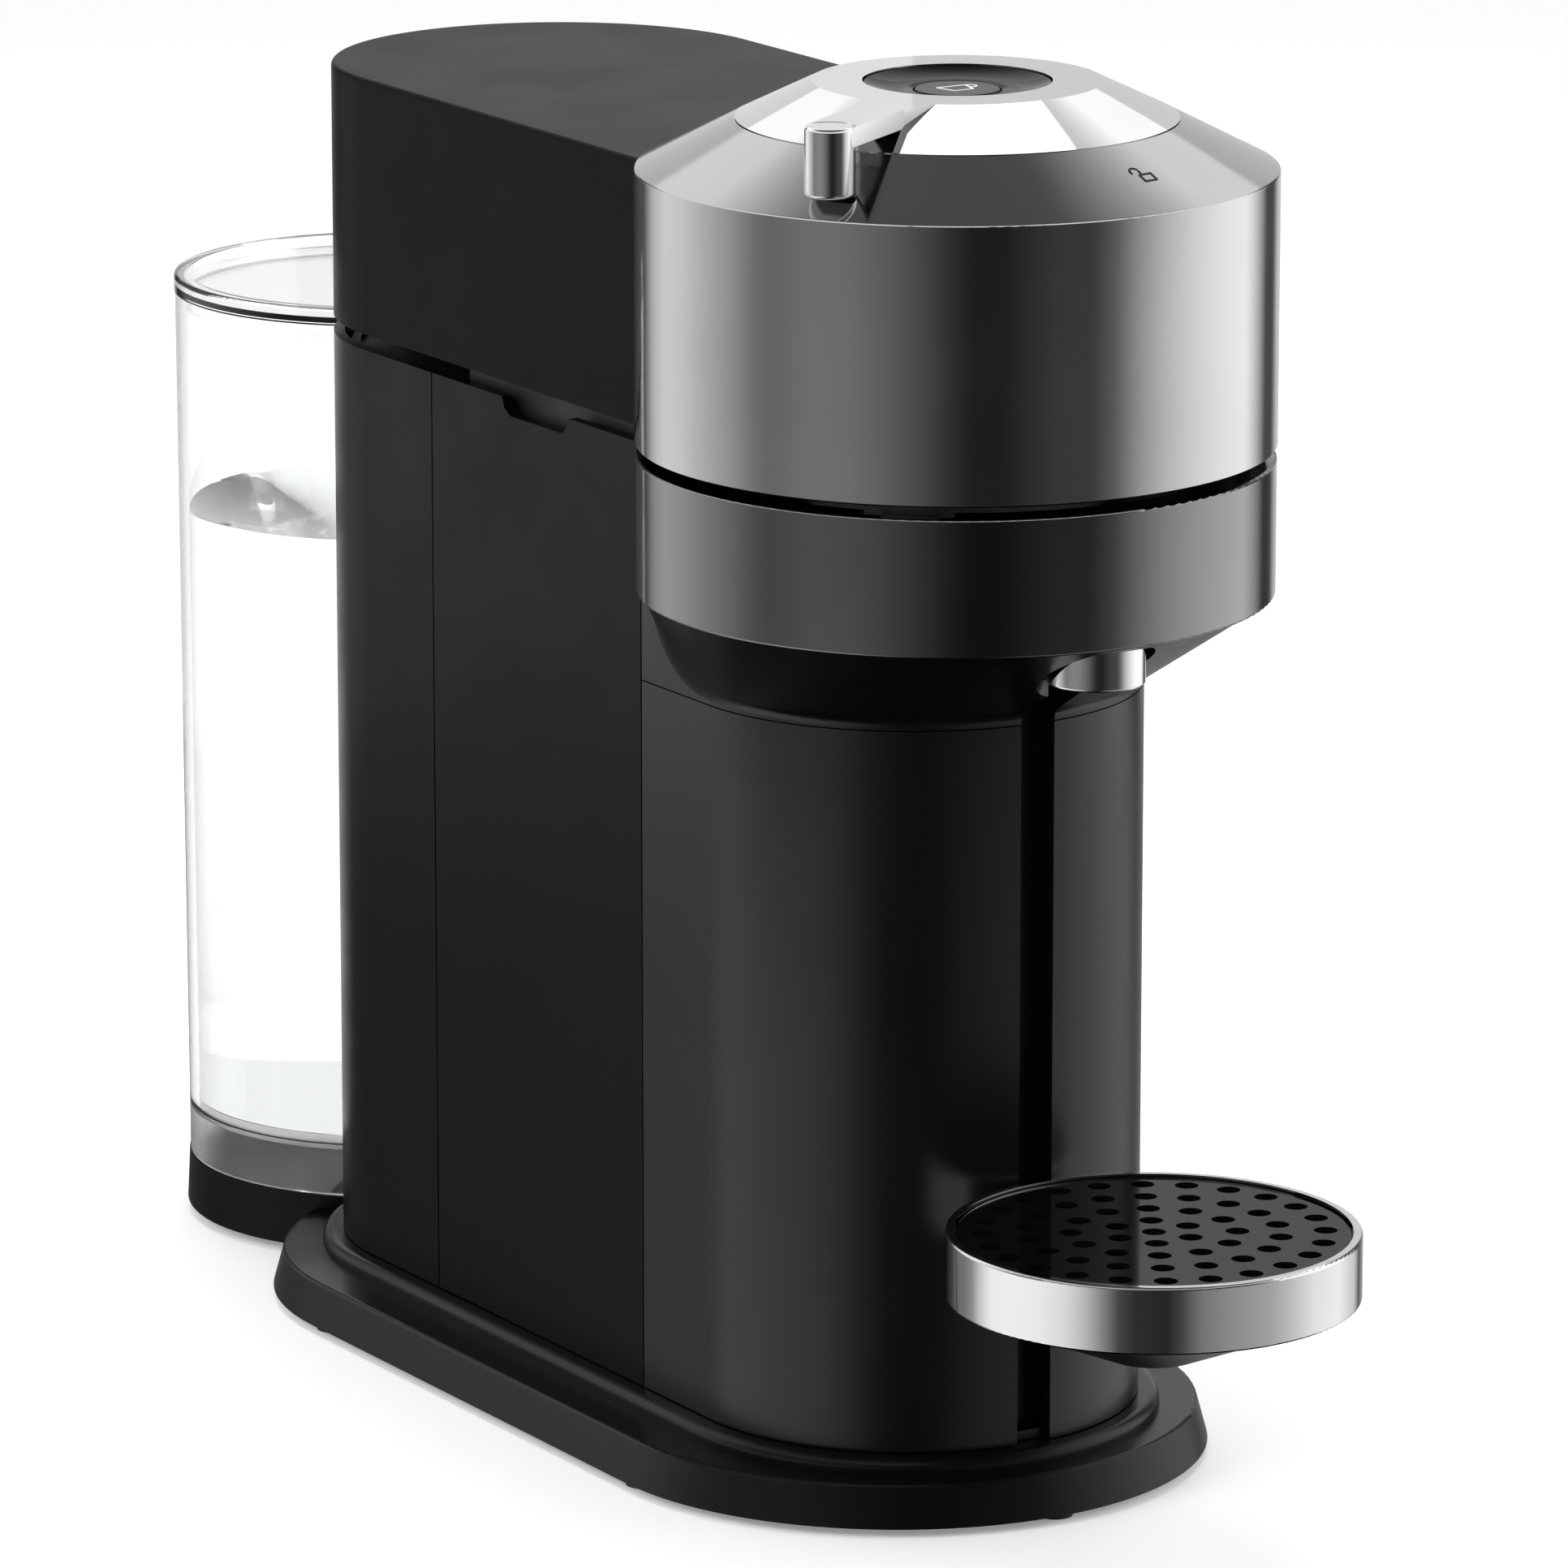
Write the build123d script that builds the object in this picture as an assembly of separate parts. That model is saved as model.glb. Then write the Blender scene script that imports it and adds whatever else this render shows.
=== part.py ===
from build123d import *
import os
from math import asin, cos, radians, sin

# Pod coffee machine. Millimetres, +Z up, front towards -Y.
# Everything is laid out about the brewing head's vertical axis (x = 0, y = 0) and the table (z = 0),
# and save() moves it back so that the origin ends at the middle of the whole machine's footprint.

# ---- driving dimensions: the body ----
body_radius = 51.7        # half the width of the casing, also the radius of its two round ends
column_y = 18.4           # centre of the round front end
rear_y = 170.6            # centre of the round rear end
body_top_z = 231.1        # top edge of the lower casing
wall = 2.5                # moulded casing wall
seam = 0.5                # visible joint between two casing parts
front_seam_y = 47.3       # joint between the front column and the side panels
rear_seam_y = 139.1       # joint between the side panels and the rear casing

# ---- the head ----
head_radius = 70.0
lid_gap = 3.7             # dark gap between the lower casing and the lid
lid_top_z = 294.0         # flat black top of the lid
rim_z = 294.8             # where the head's wall turns into its cone
cone_radius = 48.5        # small end of the dark cone
cone_top_z = 305.8
flat_radius = 31.6        # outer radius of the flat chrome ring on top
head_top_z = 313.9
ring_bottom_z = 201.4     # lower edge of the fixed ring under the head
ring_inset = 0.15         # the fixed ring is this much smaller than the head
metal = 2.4               # wall of the two metallised rings

# ---- neck, column and spout ----
neck_bottom_z = 178.0     # joint between the neck and the slide-out column
flare_z = 180.0           # where the neck starts to flare
flare_inset = 1.4         # the neck's rim stands back this far under the ring
spout_y = -55.6
spout_radius = 10.7
spout_bottom_z = 191.3
slot_width = 8.6          # upright slot in the front of the column
slot_depth = 4.6          # depth of the wider channel behind the slot
slot_lip = 1.7            # the channel is this much wider than the slot on each side
channel_wall = 1.6

# ---- base ----
foot_height = 2.0
base_radius = 70.4        # half width at the lower edge
base_lip_radius = 67.8    # half width at the upper edge
base_front_y = 23.8
base_rear_y = 166.5
lip_z = 11.6
foot_line_z = 15.0        # top of the raised bead around the column's foot
bead_width = 4.8
base_skin = 2.4

# ---- tank ----
tank_y = 252.4
tank_top_radius = 49.5
tank_foot_radius = 48.7
tank_gap = 1.5            # between the tank and the casing that it nests against
tank_wall = 2.2
tank_lid_top_z = 231.3
tank_lid_height = 4.1
tank_lid_overhang = 0.2
tank_base_top_z = 27.8
cradle_radius = 49.5

# ---- cup support ----
tray_y = -79.7
tray_radius = 44.9
tray_top_z = 75.6
tray_bottom_z = 60.7
tray_wall = 2.0
keel_z = 47.3             # lowest point of the support's shallow cone
keel_radius = 10.0

# ---- brewing chamber and lid mechanism ----
chamber_radius = 31.0     # inside the spinning capsule holder
holder_wall = 3.0
holder_top_z = 228.5
chamber_floor_z = 196.5
hinge_y = 210.0
hinge_z = 232.7
knuckle_radius = 3.2
hinge_pin_radius = 1.5
lever_angle = 212.4       # the handle's direction from the head axis, from +X towards +Y
lever_reach = 64.0
handle_radius = 5.4
handle_bottom_z = 298.9
dish_radius = 20.2        # dark dished centre of the lid
button_radius = 9.4
button_top_z = 312.0
motor_y = 95.0
holder_pulley_radius = 20.0
motor_pulley_radius = 9.0
hub_wall = 2.0            # wall of the lever's hub
spider_z = 258.0          # underside of the lock's spider
catch_leg_angles = (108.0, 228.0, 348.0)
catch_leg_span = 12.0     # degrees that one leg of the lock covers
lever_travel = 66.0       # degrees that the lever turns
leg_inner, leg_outer = 57.6, 60.6
brew_shaft_radius = 5.0
pipe_z = 248.0            # water pipe inside the lid

# ---- inside the body ----
hose_radius = 2.5
hose_hole = 3.2
hose_low_z = 5.2          # hose from the tank's port, under the base
hose_up_y = 190.0         # where that hose turns up into the flow meter
riser_x = 12.0
riser_y = 190.0
tank_port_y = 238.0
screw_radius = 1.6
shelf_thickness = 2.5
boss_radius = 4.4
arm_half_width = 7.5      # the lid's hinge arm
knuckle_outer_x = 16.0
bin_top_z = 160.0

# ---- fits ----
running = 0.05            # radial clearance of a turning fit
loose = 0.3               # clearance between faces that slide or turn past each other

# ---- values worked out from the above ----
lid_bottom_z = body_top_z + lid_gap
head_bottom_z = lid_bottom_z - 0.5
ring_top_z = body_top_z + 0.6
ring_radius = head_radius - ring_inset
casing_bottom_z = foot_line_z + loose
cone_slope = (cone_top_z - rim_z) / (head_radius - cone_radius)
frame_radius = body_radius - wall - 1.7      # outside of the inner frame
frame_wall = 2.0
frame_front_y = 60.0
shelf_z = neck_bottom_z - 1.0
tank_bottom_z = foot_line_z + loose
tank_nest_radius = body_radius + tank_gap
column_front_y = column_y - body_radius
column_top_z = neck_bottom_z - loose
channel_half = slot_width / 2 + slot_lip
channel_back_y = column_front_y + wall + slot_depth
middle_y = ((tray_y - tray_radius) + (tank_y + tank_top_radius + tank_lid_overhang)) / 2

nodes = {}


def save(name, shape):
    """Keeps a finished piece, moved so that the origin is at the middle of the footprint."""
    nodes[name] = Pos(0, -middle_y, 0) * shape


def stadium(radius, front_y=column_y, back_y=rear_y):
    """Flat outline with two round ends and straight sides."""
    middle = Pos(0, (front_y + back_y) / 2) * Rectangle(2 * radius, back_y - front_y)
    return Pos(0, front_y) * Circle(radius) + middle + Pos(0, back_y) * Circle(radius)


def prism(face, low, high):
    return extrude(Pos(0, 0, low) * face, high - low)


def block(x0, x1, y0, y1, z0, z1):
    return Pos((x0 + x1) / 2, (y0 + y1) / 2, (z0 + z1) / 2) * Box(x1 - x0, y1 - y0, z1 - z0)


def rod(x, y, z0, z1, radius):
    return Pos(x, y, (z0 + z1) / 2) * Cylinder(radius, z1 - z0)


def tube(x, y, z0, z1, outer, inner):
    return rod(x, y, z0, z1, outer) - rod(x, y, z0 - 1, z1 + 1, inner)


def turned(points):
    """Solid of revolution about the head axis from (radius, z) corners."""
    return revolve(make_face(Plane.XZ * Polyline(*points, close=True)), Axis.Z)


def hose(points, radius, bends):
    """Round hose along straight runs joined by arcs."""
    path = FilletPolyline(*points, radius=bends)
    start = Plane(origin=path @ 0, z_dir=path % 0)
    return sweep(start * Circle(radius), path=path)


def flare(bottom_radius, top_radius, bottom_z, top_z):
    """The neck's oblique cone, from the column's front circle to the ring's circle."""
    low = Pos(0, column_y, bottom_z) * Circle(bottom_radius)
    high = Pos(0, 0, top_z) * Circle(top_radius)
    return loft([low, high])


# ======== base ========
foot_places = [(x * 64.0, y) for x in (-1, 1) for y in (27.0, 167.0)] + [(1.5, -39.5)]
screw_places = [(x * 36.0, y) for x in (-1, 1) for y in (76.0, 178.0)]
foot_radius = 4.0
foot_recess = 1.0
screw_head_radius = 3.4
gland_y = 90.0
gland_z = 6.6
gland_radius = 3.6
gland_bore = 2.4
base_ceiling_z = lip_z - base_skin
bead_ceiling_z = foot_line_z - base_skin


def make_base():
    low = Pos(0, 0, foot_height) * stadium(base_radius, base_front_y, base_rear_y)
    high = Pos(0, 0, lip_z) * stadium(base_lip_radius, base_front_y, base_rear_y)
    body = loft([low, high])
    body = fillet(body.edges().group_by(Axis.Z)[-1], 1.0)
    body -= rod(0, tank_y, 0, lip_z + 5, cradle_radius + loose)
    bead = prism(stadium(body_radius + bead_width), foot_height, foot_line_z)
    bead = fillet(bead.edges().group_by(Axis.Z)[-1], 2.4)
    body += bead
    pocket = prism(stadium(base_radius - 5.5, base_front_y, base_rear_y), 0, base_ceiling_z)
    pocket -= rod(0, tank_y, 0, lip_z, cradle_radius + loose + wall)
    pocket += prism(stadium(body_radius + bead_width - wall), 0, base_ceiling_z)
    pocket += prism(stadium(body_radius - 2), 0, bead_ceiling_z)
    for y in (55.0, 125.0):
        pocket -= block(-base_radius, base_radius, y - 1, y + 1, 0, lip_z + 5)
    for x, y in foot_places:
        pocket -= rod(x, y, 0, lip_z + 5, foot_radius + 2)
    body -= pocket
    for x, y in foot_places:
        body -= rod(x, y, 0, foot_height + foot_recess, foot_radius + 0.1)
    for x, y in screw_places:
        body -= rod(x, y, 0, foot_line_z + 1, screw_radius + 0.2)
    body -= rod(0, hose_up_y, 0, foot_line_z + 1, hose_hole)
    body -= block(-hose_hole, hose_hole, hose_up_y, tank_port_y, 0, base_ceiling_z)
    body -= Pos(base_radius, gland_y, gland_z) * Rot(0, 90, 0) * Cylinder(gland_radius, 24)
    return body


save("base_plate", make_base())
save("rubber_feet", Compound(children=[
    rod(x, y, 0, foot_height + foot_recess, foot_radius) for x, y in foot_places]))
save("base_screws", Compound(children=[
    rod(x, y, bead_ceiling_z, casing_bottom_z + 12, screw_radius)
    + rod(x, y, bead_ceiling_z - 2.2, bead_ceiling_z, screw_head_radius) for x, y in screw_places]))
gland = Pos(base_radius - 4.6, gland_y, gland_z) * Rot(0, 90, 0) * Cylinder(gland_radius, 9)
gland -= Pos(base_radius, gland_y, gland_z) * Rot(0, 90, 0) * Cylinder(gland_bore, 40)
save("cord_gland", gland)

# ======== lower casing ========
notch_y = (79.6, 106.4)
notch_depth = 3.9


def casing_wall(low, high):
    return prism(stadium(body_radius) - stadium(body_radius - wall), low, high)


def make_side_panel(side):
    shell = casing_wall(casing_bottom_z, body_top_z)
    x0, x1 = sorted((0, side * head_radius))
    panel = shell & block(x0, x1, front_seam_y + seam / 2, rear_seam_y - seam / 2, 0, lid_top_z)
    panel -= rod(0, 0, ring_bottom_z - loose, lid_top_z, ring_radius + loose)
    y0, y1 = notch_y
    notch = Polyline((y0 - 2, body_top_z + 1), (y0, body_top_z - notch_depth + 1.2),
                     (y0 + 1.2, body_top_z - notch_depth), (y1 - 2.6, body_top_z - notch_depth),
                     (y1, body_top_z - notch_depth + 1.4), (y1 + 1.6, body_top_z + 1), close=True)
    panel -= extrude(Plane.YZ * make_face(notch), head_radius, both=True)
    for y in (frame_front_y + 8, rear_seam_y - 14):
        xs = sorted((side * frame_radius, side * (body_radius - wall / 2)))
        panel += block(xs[0], xs[1], y - 0.8, y + 0.8, casing_bottom_z + 6, body_top_z - 12)
    return panel


def make_rear_casing():
    shell = casing_wall(casing_bottom_z, body_top_z)
    shell &= block(-head_radius, head_radius, rear_seam_y + seam / 2, tank_y, 0, lid_top_z)
    relief_z = body_top_z - 3.9
    shell -= block(-head_radius, head_radius, hinge_y - 3, tank_y, relief_z, lid_top_z)
    for x in (-12, 12):
        rib = block(x - 0.8, x + 0.8, rear_y, rear_y + body_radius - 1, casing_bottom_z + 6, body_top_z - 12)
        shell += rib - prism(stadium(frame_radius), 0, lid_top_z)
    return shell


save("side_panel_left", make_side_panel(-1))
save("side_panel_right", make_side_panel(1))
save("rear_casing", make_rear_casing())

# ======== inner frame, which carries everything inside ========
frame_step_y = 129.0      # the frame's edge drops behind this, where the hinge needs the room
frame_top_z = body_top_z + 4.9
frame_rear_top_z = body_top_z - 2.4
band_front_y = 53.8
deck_z = body_top_z - 5.6


def make_inner_frame():
    outline = stadium(frame_radius)
    ring = prism(outline - stadium(frame_radius - frame_wall), casing_bottom_z, frame_top_z)
    front_cut = block(-head_radius, head_radius, -head_radius, frame_front_y, 0, shelf_z)
    band_cut = block(-head_radius, head_radius, -head_radius, band_front_y, shelf_z - 1, lid_top_z)
    drop = block(-head_radius, head_radius, frame_step_y, tank_y, frame_rear_top_z, lid_top_z)
    frame = ring - front_cut - band_cut - drop
    floor_y = block(-head_radius, head_radius, frame_front_y, tank_y, 0, lid_top_z)
    frame += prism(outline, casing_bottom_z, casing_bottom_z + 2.4) & floor_y
    frame += block(-frame_radius, frame_radius, frame_front_y, frame_front_y + 2, casing_bottom_z, shelf_z)
    shelf = prism(outline, shelf_z, shelf_z + shelf_thickness)
    shelf &= block(-head_radius, head_radius, -head_radius, motor_y + 21, 0, lid_top_z)
    lip = prism(stadium(body_radius - wall), neck_bottom_z + 0.2, shelf_z + shelf_thickness)
    frame += shelf + (lip & block(-head_radius, head_radius, -head_radius, front_seam_y - 3, 0, lid_top_z))
    channel_room = channel_half + channel_wall + loose
    frame -= block(-channel_room, channel_room, -head_radius, channel_back_y + channel_wall + loose,
                   0, lid_top_z)
    ledge = prism(outline - stadium(frame_radius - frame_wall - 2), deck_z - 2, deck_z)
    frame += ledge & block(-head_radius, head_radius, head_radius + 1, hinge_y - 8, 0, lid_top_z)
    for x, y in screw_places:
        frame += rod(x, y, foot_line_z, casing_bottom_z + 14, boss_radius)
        frame -= rod(x, y, 0, casing_bottom_z + 12, screw_radius + running)
    for side in (-1, 1):
        x0, x1 = sorted((side * (arm_half_width + loose), side * knuckle_outer_x))
        web = block(x0, x1, hinge_y, hinge_y + 12, hinge_z - 9, hinge_z)
        web &= prism(stadium(frame_radius - 0.5), 0, lid_top_z)
        eye = Pos((x0 + x1) / 2, hinge_y, hinge_z) * Rot(0, 90, 0) * Cylinder(knuckle_radius, x1 - x0)
        frame += web + eye
    frame -= Pos(0, hinge_y, hinge_z) * Rot(0, 90, 0) * Cylinder(hinge_pin_radius, 60)
    frame -= rod(0, motor_y, shelf_z - 1, shelf_z + 4, 4.0)
    frame -= rod(0, 0, shelf_z - 1, shelf_z + 4, 9.0)
    frame -= rod(0, hose_up_y, 0, casing_bottom_z + 5, hose_hole)
    # chute that lets a used capsule fall from the head into the bin
    frame -= block(-30, 30, 27, 52, shelf_z - 1, shelf_z + 4)
    return frame


save("inner_frame", make_inner_frame())
save("hinge_pin", Pos(0, hinge_y, hinge_z) * Rot(0, 90, 0)
     * Cylinder(hinge_pin_radius, 2 * knuckle_outer_x))

deck = prism(stadium(frame_radius - frame_wall - 0.2), deck_z, deck_z + 2)
deck &= block(-head_radius, head_radius, head_radius + 1, hinge_y - 6, 0, lid_top_z)
deck -= rod(riser_x, riser_y, 0, lid_top_z, hose_hole)
save("top_deck", deck)

# ======== fixed ring, neck and spout ========
ring_flange = 7.5
duct_z = ring_bottom_z + 1.2      # underside of the coffee duct
housing_floor_z = chamber_floor_z - 7.5


def sector(start, end, inner, outer, low, high):
    """Part of a ring between two angles, in degrees, no wider than half a turn."""
    far = 2 * outer
    middle = (start + end) / 2
    wedge = make_face(Polyline(
        (0, 0), (far * cos(radians(start)), far * sin(radians(start))),
        (far * cos(radians(middle)) * 1.5, far * sin(radians(middle)) * 1.5),
        (far * cos(radians(end)), far * sin(radians(end))), close=True))
    return prism(wedge, low, high) & tube(0, 0, low, high, outer, inner)


def make_lower_ring():
    inner = ring_radius - metal
    ring = turned([(inner, ring_bottom_z), (ring_radius, ring_bottom_z), (ring_radius, ring_top_z),
                   (ring_radius - ring_flange, ring_top_z), (ring_radius - ring_flange, ring_top_z - 2.4),
                   (inner, ring_top_z - 2.4)])
    outer_edges = ring.edges().filter_by(GeomType.CIRCLE).filter_by(
        lambda e: e.radius > ring_radius - 0.01)
    ring = fillet(outer_edges, 0.6)
    for angle in catch_leg_angles:
        gap = 0.5 * catch_leg_span + 3
        ring -= sector(angle - gap, angle + gap, 50, ring_radius - metal - 0.4,
                       ring_top_z - 3, ring_top_z + 1)
    return ring


def make_neck():
    top_z = ring_bottom_z
    rim = ring_radius - flare_inset
    start_z = neck_bottom_z - 6      # longer than the neck, so that the crease has room to be rounded
    outer = flare(body_radius, rim, flare_z, top_z) + prism(stadium(body_radius), start_z, top_z)
    soft = [e for e in outer.edges() if abs(e.center().Z - flare_z) < 4 and e.length > 40
            and e.center().Y < column_y]
    outer = fillet(soft, 3.0)
    inner = flare(body_radius - wall, rim - wall, flare_z + wall, top_z + 1)
    inner += prism(stadium(body_radius - wall), start_z - 1, top_z + 1)
    back = channel_back_y + channel_wall
    channel = block(-channel_half - channel_wall, channel_half + channel_wall, -head_radius, back,
                    neck_bottom_z, housing_floor_z - loose) & outer
    room = block(-channel_half, channel_half, -head_radius, channel_back_y, 0, top_z) & inner
    neck = outer - inner
    neck &= block(-90, 90, -90, front_seam_y - seam / 2, neck_bottom_z, lid_top_z)
    neck += channel - room
    neck -= block(-slot_width / 2, slot_width / 2, -head_radius + 10, channel_back_y, 0, top_z - 1.3)
    neck -= rod(0, spout_y, 0, top_z - 1.2, spout_radius + 2.0)
    return neck - rod(0, spout_y, 0, top_z + 2, spout_radius + loose)


def make_spout():
    top = duct_z
    spout = rod(0, spout_y, spout_bottom_z, top, spout_radius)
    spout = fillet(spout.edges().group_by(Axis.Z)[0], 0.7)
    spout -= rod(0, spout_y, 0, top - 2, spout_radius - 1.6)
    spout += tube(0, spout_y, spout_bottom_z + 1.2, top - 1, 4.2, 3.0)
    return spout - rod(0, spout_y, 0, top + 1, 3.0)


save("lower_head_ring", make_lower_ring())
save("neck_cover", make_neck())
save("coffee_spout", make_spout())

# ======== brewing chamber ========
holder_radius = chamber_radius + holder_wall
housing_inner = holder_radius + 2.2
housing_outer = housing_inner + 2.3
chamber_deck_z = holder_top_z - 7.0
pulley_z = shelf_z + shelf_thickness + 1.5
pulley_height = 6.6
bearing_outer = 13.0
shaft_radius = 7.0
post_radius = 33.0


def make_housing():
    cup = tube(0, 0, housing_floor_z, chamber_deck_z + 2.5, housing_outer, housing_inner)
    cup += tube(0, 0, housing_floor_z, housing_floor_z + 2.5, housing_outer, bearing_outer)
    cup += tube(0, 0, chamber_deck_z, chamber_deck_z + 2.5, ring_radius - metal, housing_inner)
    duct = block(-7, 7, spout_y - 6, -housing_inner - 0.6, duct_z, duct_z + 7)
    duct -= block(-5, 5, spout_y - 4, 0, duct_z + 1.4, duct_z + 5.6)
    duct -= rod(0, spout_y, duct_z - 1, duct_z + 3, 3.0)
    cup += duct
    cup -= block(-5, 5, -housing_outer - 1, -housing_inner + 1, duct_z + 1.4, duct_z + 5.6)
    for angle in (45, 135, 205, 335):
        x, y = post_radius * cos(radians(angle)), post_radius * sin(radians(angle))
        cup += rod(x, y, shelf_z + shelf_thickness, housing_floor_z, 2.4)
    return cup


def make_holder():
    cup = rod(0, 0, chamber_floor_z - 2.5, holder_top_z, holder_radius)
    cup += rod(0, 0, holder_top_z - 2.0, holder_top_z, holder_radius + 1.6)
    cup -= Pos(0, 0, (chamber_floor_z + holder_top_z + 1) / 2) * Cone(
        chamber_radius - 4, chamber_radius, holder_top_z + 1 - chamber_floor_z)
    cup += rod(0, 0, pulley_z, chamber_floor_z - 2.5, shaft_radius)
    return cup - rod(0, 0, 0, holder_top_z, 2.0)


def make_pulley(y, radius, bore):
    wheel = rod(0, y, pulley_z, pulley_z + pulley_height, radius + 1.4)
    groove = tube(0, y, pulley_z + 1, pulley_z + pulley_height - 1, radius + 2, radius)
    return wheel - groove - rod(0, y, 0, holder_top_z, bore)


def make_belt():
    def loop(offset):
        big, small = holder_pulley_radius + offset, motor_pulley_radius + offset
        lean = asin((big - small) / motor_y)
        corners = []
        for side in (1, -1):
            corners.append((side * big * cos(lean), big * sin(lean)))
            corners.append((side * small * cos(lean), motor_y + small * sin(lean)))
        web = make_face(Polyline(corners[0], corners[1], corners[3], corners[2], close=True))
        return Circle(big) + Pos(0, motor_y) * Circle(small) + web
    return prism(loop(loose + 1.5) - loop(loose), pulley_z + 1.3, pulley_z + pulley_height - 1.3)


save("chamber_housing", make_housing())
save("capsule_holder", make_holder())
save("holder_bearing", tube(0, 0, housing_floor_z - 1, housing_floor_z + 3.4, bearing_outer,
                            shaft_radius + running))
save("holder_pulley", make_pulley(0, holder_pulley_radius, shaft_radius))
save("motor_pulley", make_pulley(motor_y, motor_pulley_radius, 2.5))
save("drive_belt", make_belt())

# ======== parts inside the body ========
motor_radius = 18.0
motor_height = 52.0
motor = rod(0, motor_y, shelf_z - motor_height, shelf_z, motor_radius)
motor = fillet(motor.edges().filter_by(GeomType.CIRCLE), 1.5)
motor += rod(0, motor_y, shelf_z - motor_height - 5, shelf_z - motor_height + 1, 7)
motor += rod(0, motor_y, shelf_z - 1, shelf_z + 1.5, 4.0 - 0.2)
motor -= rod(0, motor_y, shelf_z - 20, lid_top_z, 2.5 + running)
save("spin_motor", motor)
save("motor_shaft", rod(0, motor_y, shelf_z - 18, pulley_z + pulley_height + 2, 2.5))

floor_z = casing_bottom_z + 2.4
pump_x, pump_y = -24.0, 100.0
pump = rod(pump_x, pump_y, floor_z, floor_z + 58, 14)
pump += rod(pump_x, pump_y, floor_z + 58, floor_z + 74, 8)
pump += rod(pump_x, pump_y, floor_z + 74, floor_z + 84, 3.5)
for k in range(4):
    pump += rod(pump_x, pump_y, floor_z + 10 + 12 * k, floor_z + 13 + 12 * k, 15.2)
save("pump", pump)

heater_x, heater_y = 20.0, 135.0
heater_low, heater_high = floor_z + 22, floor_z + 96
heater = block(heater_x - 16, heater_x + 16, heater_y - 18, heater_y + 18, heater_low, heater_high)
heater = fillet(heater.edges().filter_by(Axis.Z), 5)
for k in range(7):
    z = heater_low + 8 + 9 * k
    heater += block(heater_x - 18.5, heater_x + 18.5, heater_y - 14, heater_y + 14, z, z + 3)
heater += block(heater_x - 5, heater_x + 5, heater_y - 5, heater_y + 5, floor_z, heater_low)
heater += rod(heater_x - 8, heater_y, heater_high, heater_high + 8, 3.5)
heater += rod(heater_x + 8, heater_y, heater_high, heater_high + 8, 3.5)
save("thermoblock", heater)

meter = rod(0, hose_up_y, floor_z + 8, floor_z + 22, 11)
meter += tube(0, hose_up_y, floor_z, floor_z + 8, 5.5, hose_hole + 0.2)
meter += block(-3, 3, hose_up_y - 20, hose_up_y - 8, floor_z + 12, floor_z + 18)
save("flow_meter", meter)

board_x = -(frame_radius - frame_wall - 3.5)
board = block(board_x, board_x + 1.6, 120, 174, 110, 208)
for y, z, size in ((130, 125, 12), (150, 130, 16), (140, 165, 20), (164, 185, 10)):
    board += block(board_x + 1.6, board_x + 1.6 + size * 0.6, y - size / 2, y + size / 2,
                   z - size / 2, z + size / 2)
board_standoff = frame_radius - frame_wall + board_x
for y in (124, 168):
    for z in (114, 204):
        board += Pos(board_x - board_standoff / 2, y, z) * Rot(0, 90, 0) * Cylinder(2.5, board_standoff)
save("control_board", board)

suction = hose([(0, tank_port_y, hose_low_z), (0, hose_up_y, hose_low_z), (0, hose_up_y, floor_z + 8)],
               hose_radius, 6.0)
save("suction_hose", suction)
pump_top = floor_z + 84
feed = hose([(pump_x, pump_y, pump_top), (pump_x, pump_y, pump_top + 13),
             (pump_x, heater_y - 7, heater_high + 19), (heater_x - 8, heater_y, heater_high + 26),
             (heater_x - 8, heater_y, heater_high + 8)], hose_radius, 7.0)
save("feed_hose", feed)
riser = hose([(heater_x + 8, heater_y, heater_high + 8), (heater_x + 8, heater_y, heater_high + 45),
              (riser_x, riser_y, deck_z - 32), (riser_x, riser_y, deck_z + 4)], hose_radius, 12.0)
save("riser_hose", riser)

# ======== tank cradle and outlet ========
cradle_top_radius = tank_foot_radius + 0.2
port_radius = 7.0


def make_cradle():
    outer = Pos(0, tank_y, (foot_height + foot_line_z) / 2) * Cone(
        cradle_radius, cradle_top_radius, foot_line_z - foot_height)
    outer = fillet(outer.edges().group_by(Axis.Z)[0], 0.8)
    outer -= prism(stadium(body_radius + bead_width), 0, foot_line_z + 1)
    room = Pos(0, tank_y, 0) * rod(0, 0, foot_height + 6.0, foot_line_z + 1, cradle_top_radius - 3)
    room -= prism(stadium(body_radius + bead_width + 3), 0, foot_line_z + 2)
    outer -= room
    hose_room_z = hose_low_z + hose_radius + 0.1
    outer -= block(-hose_hole, hose_hole, 0, tank_port_y + hose_hole, 0, hose_room_z)
    outer += rod(0, tank_port_y, hose_room_z, foot_line_z - 1.2, port_radius + 2)
    outer -= rod(0, tank_port_y, foot_line_z - 5, foot_line_z + 1, port_radius)
    return outer - rod(0, tank_port_y, 0, foot_line_z + 1, 2.0)


save("tank_cradle", make_cradle())
pin_top_z = tank_bottom_z + 3.0
save("port_seal", tube(0, tank_port_y, foot_line_z - 5, foot_line_z - 0.2, port_radius, 4.4))
port_pin = tube(0, tank_port_y, foot_line_z - 5, pin_top_z, 2.8, 1.4)
save("port_pin", port_pin)

# ======== water tank ========


def tapered_crescent(inset, low, high):
    """Tank-shaped solid standing in from the tank's outer face by the inset."""
    def radius_at(z):
        share = (z - tank_base_top_z) / (tank_lid_top_z - tank_lid_height - tank_base_top_z)
        return tank_foot_radius + (tank_top_radius - tank_foot_radius) * share - inset
    body = Pos(0, tank_y, (low + high) / 2) * Cone(radius_at(low), radius_at(high), high - low)
    body -= rod(0, rear_y, low - 1, high + 1, tank_nest_radius + inset)
    return body


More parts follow.
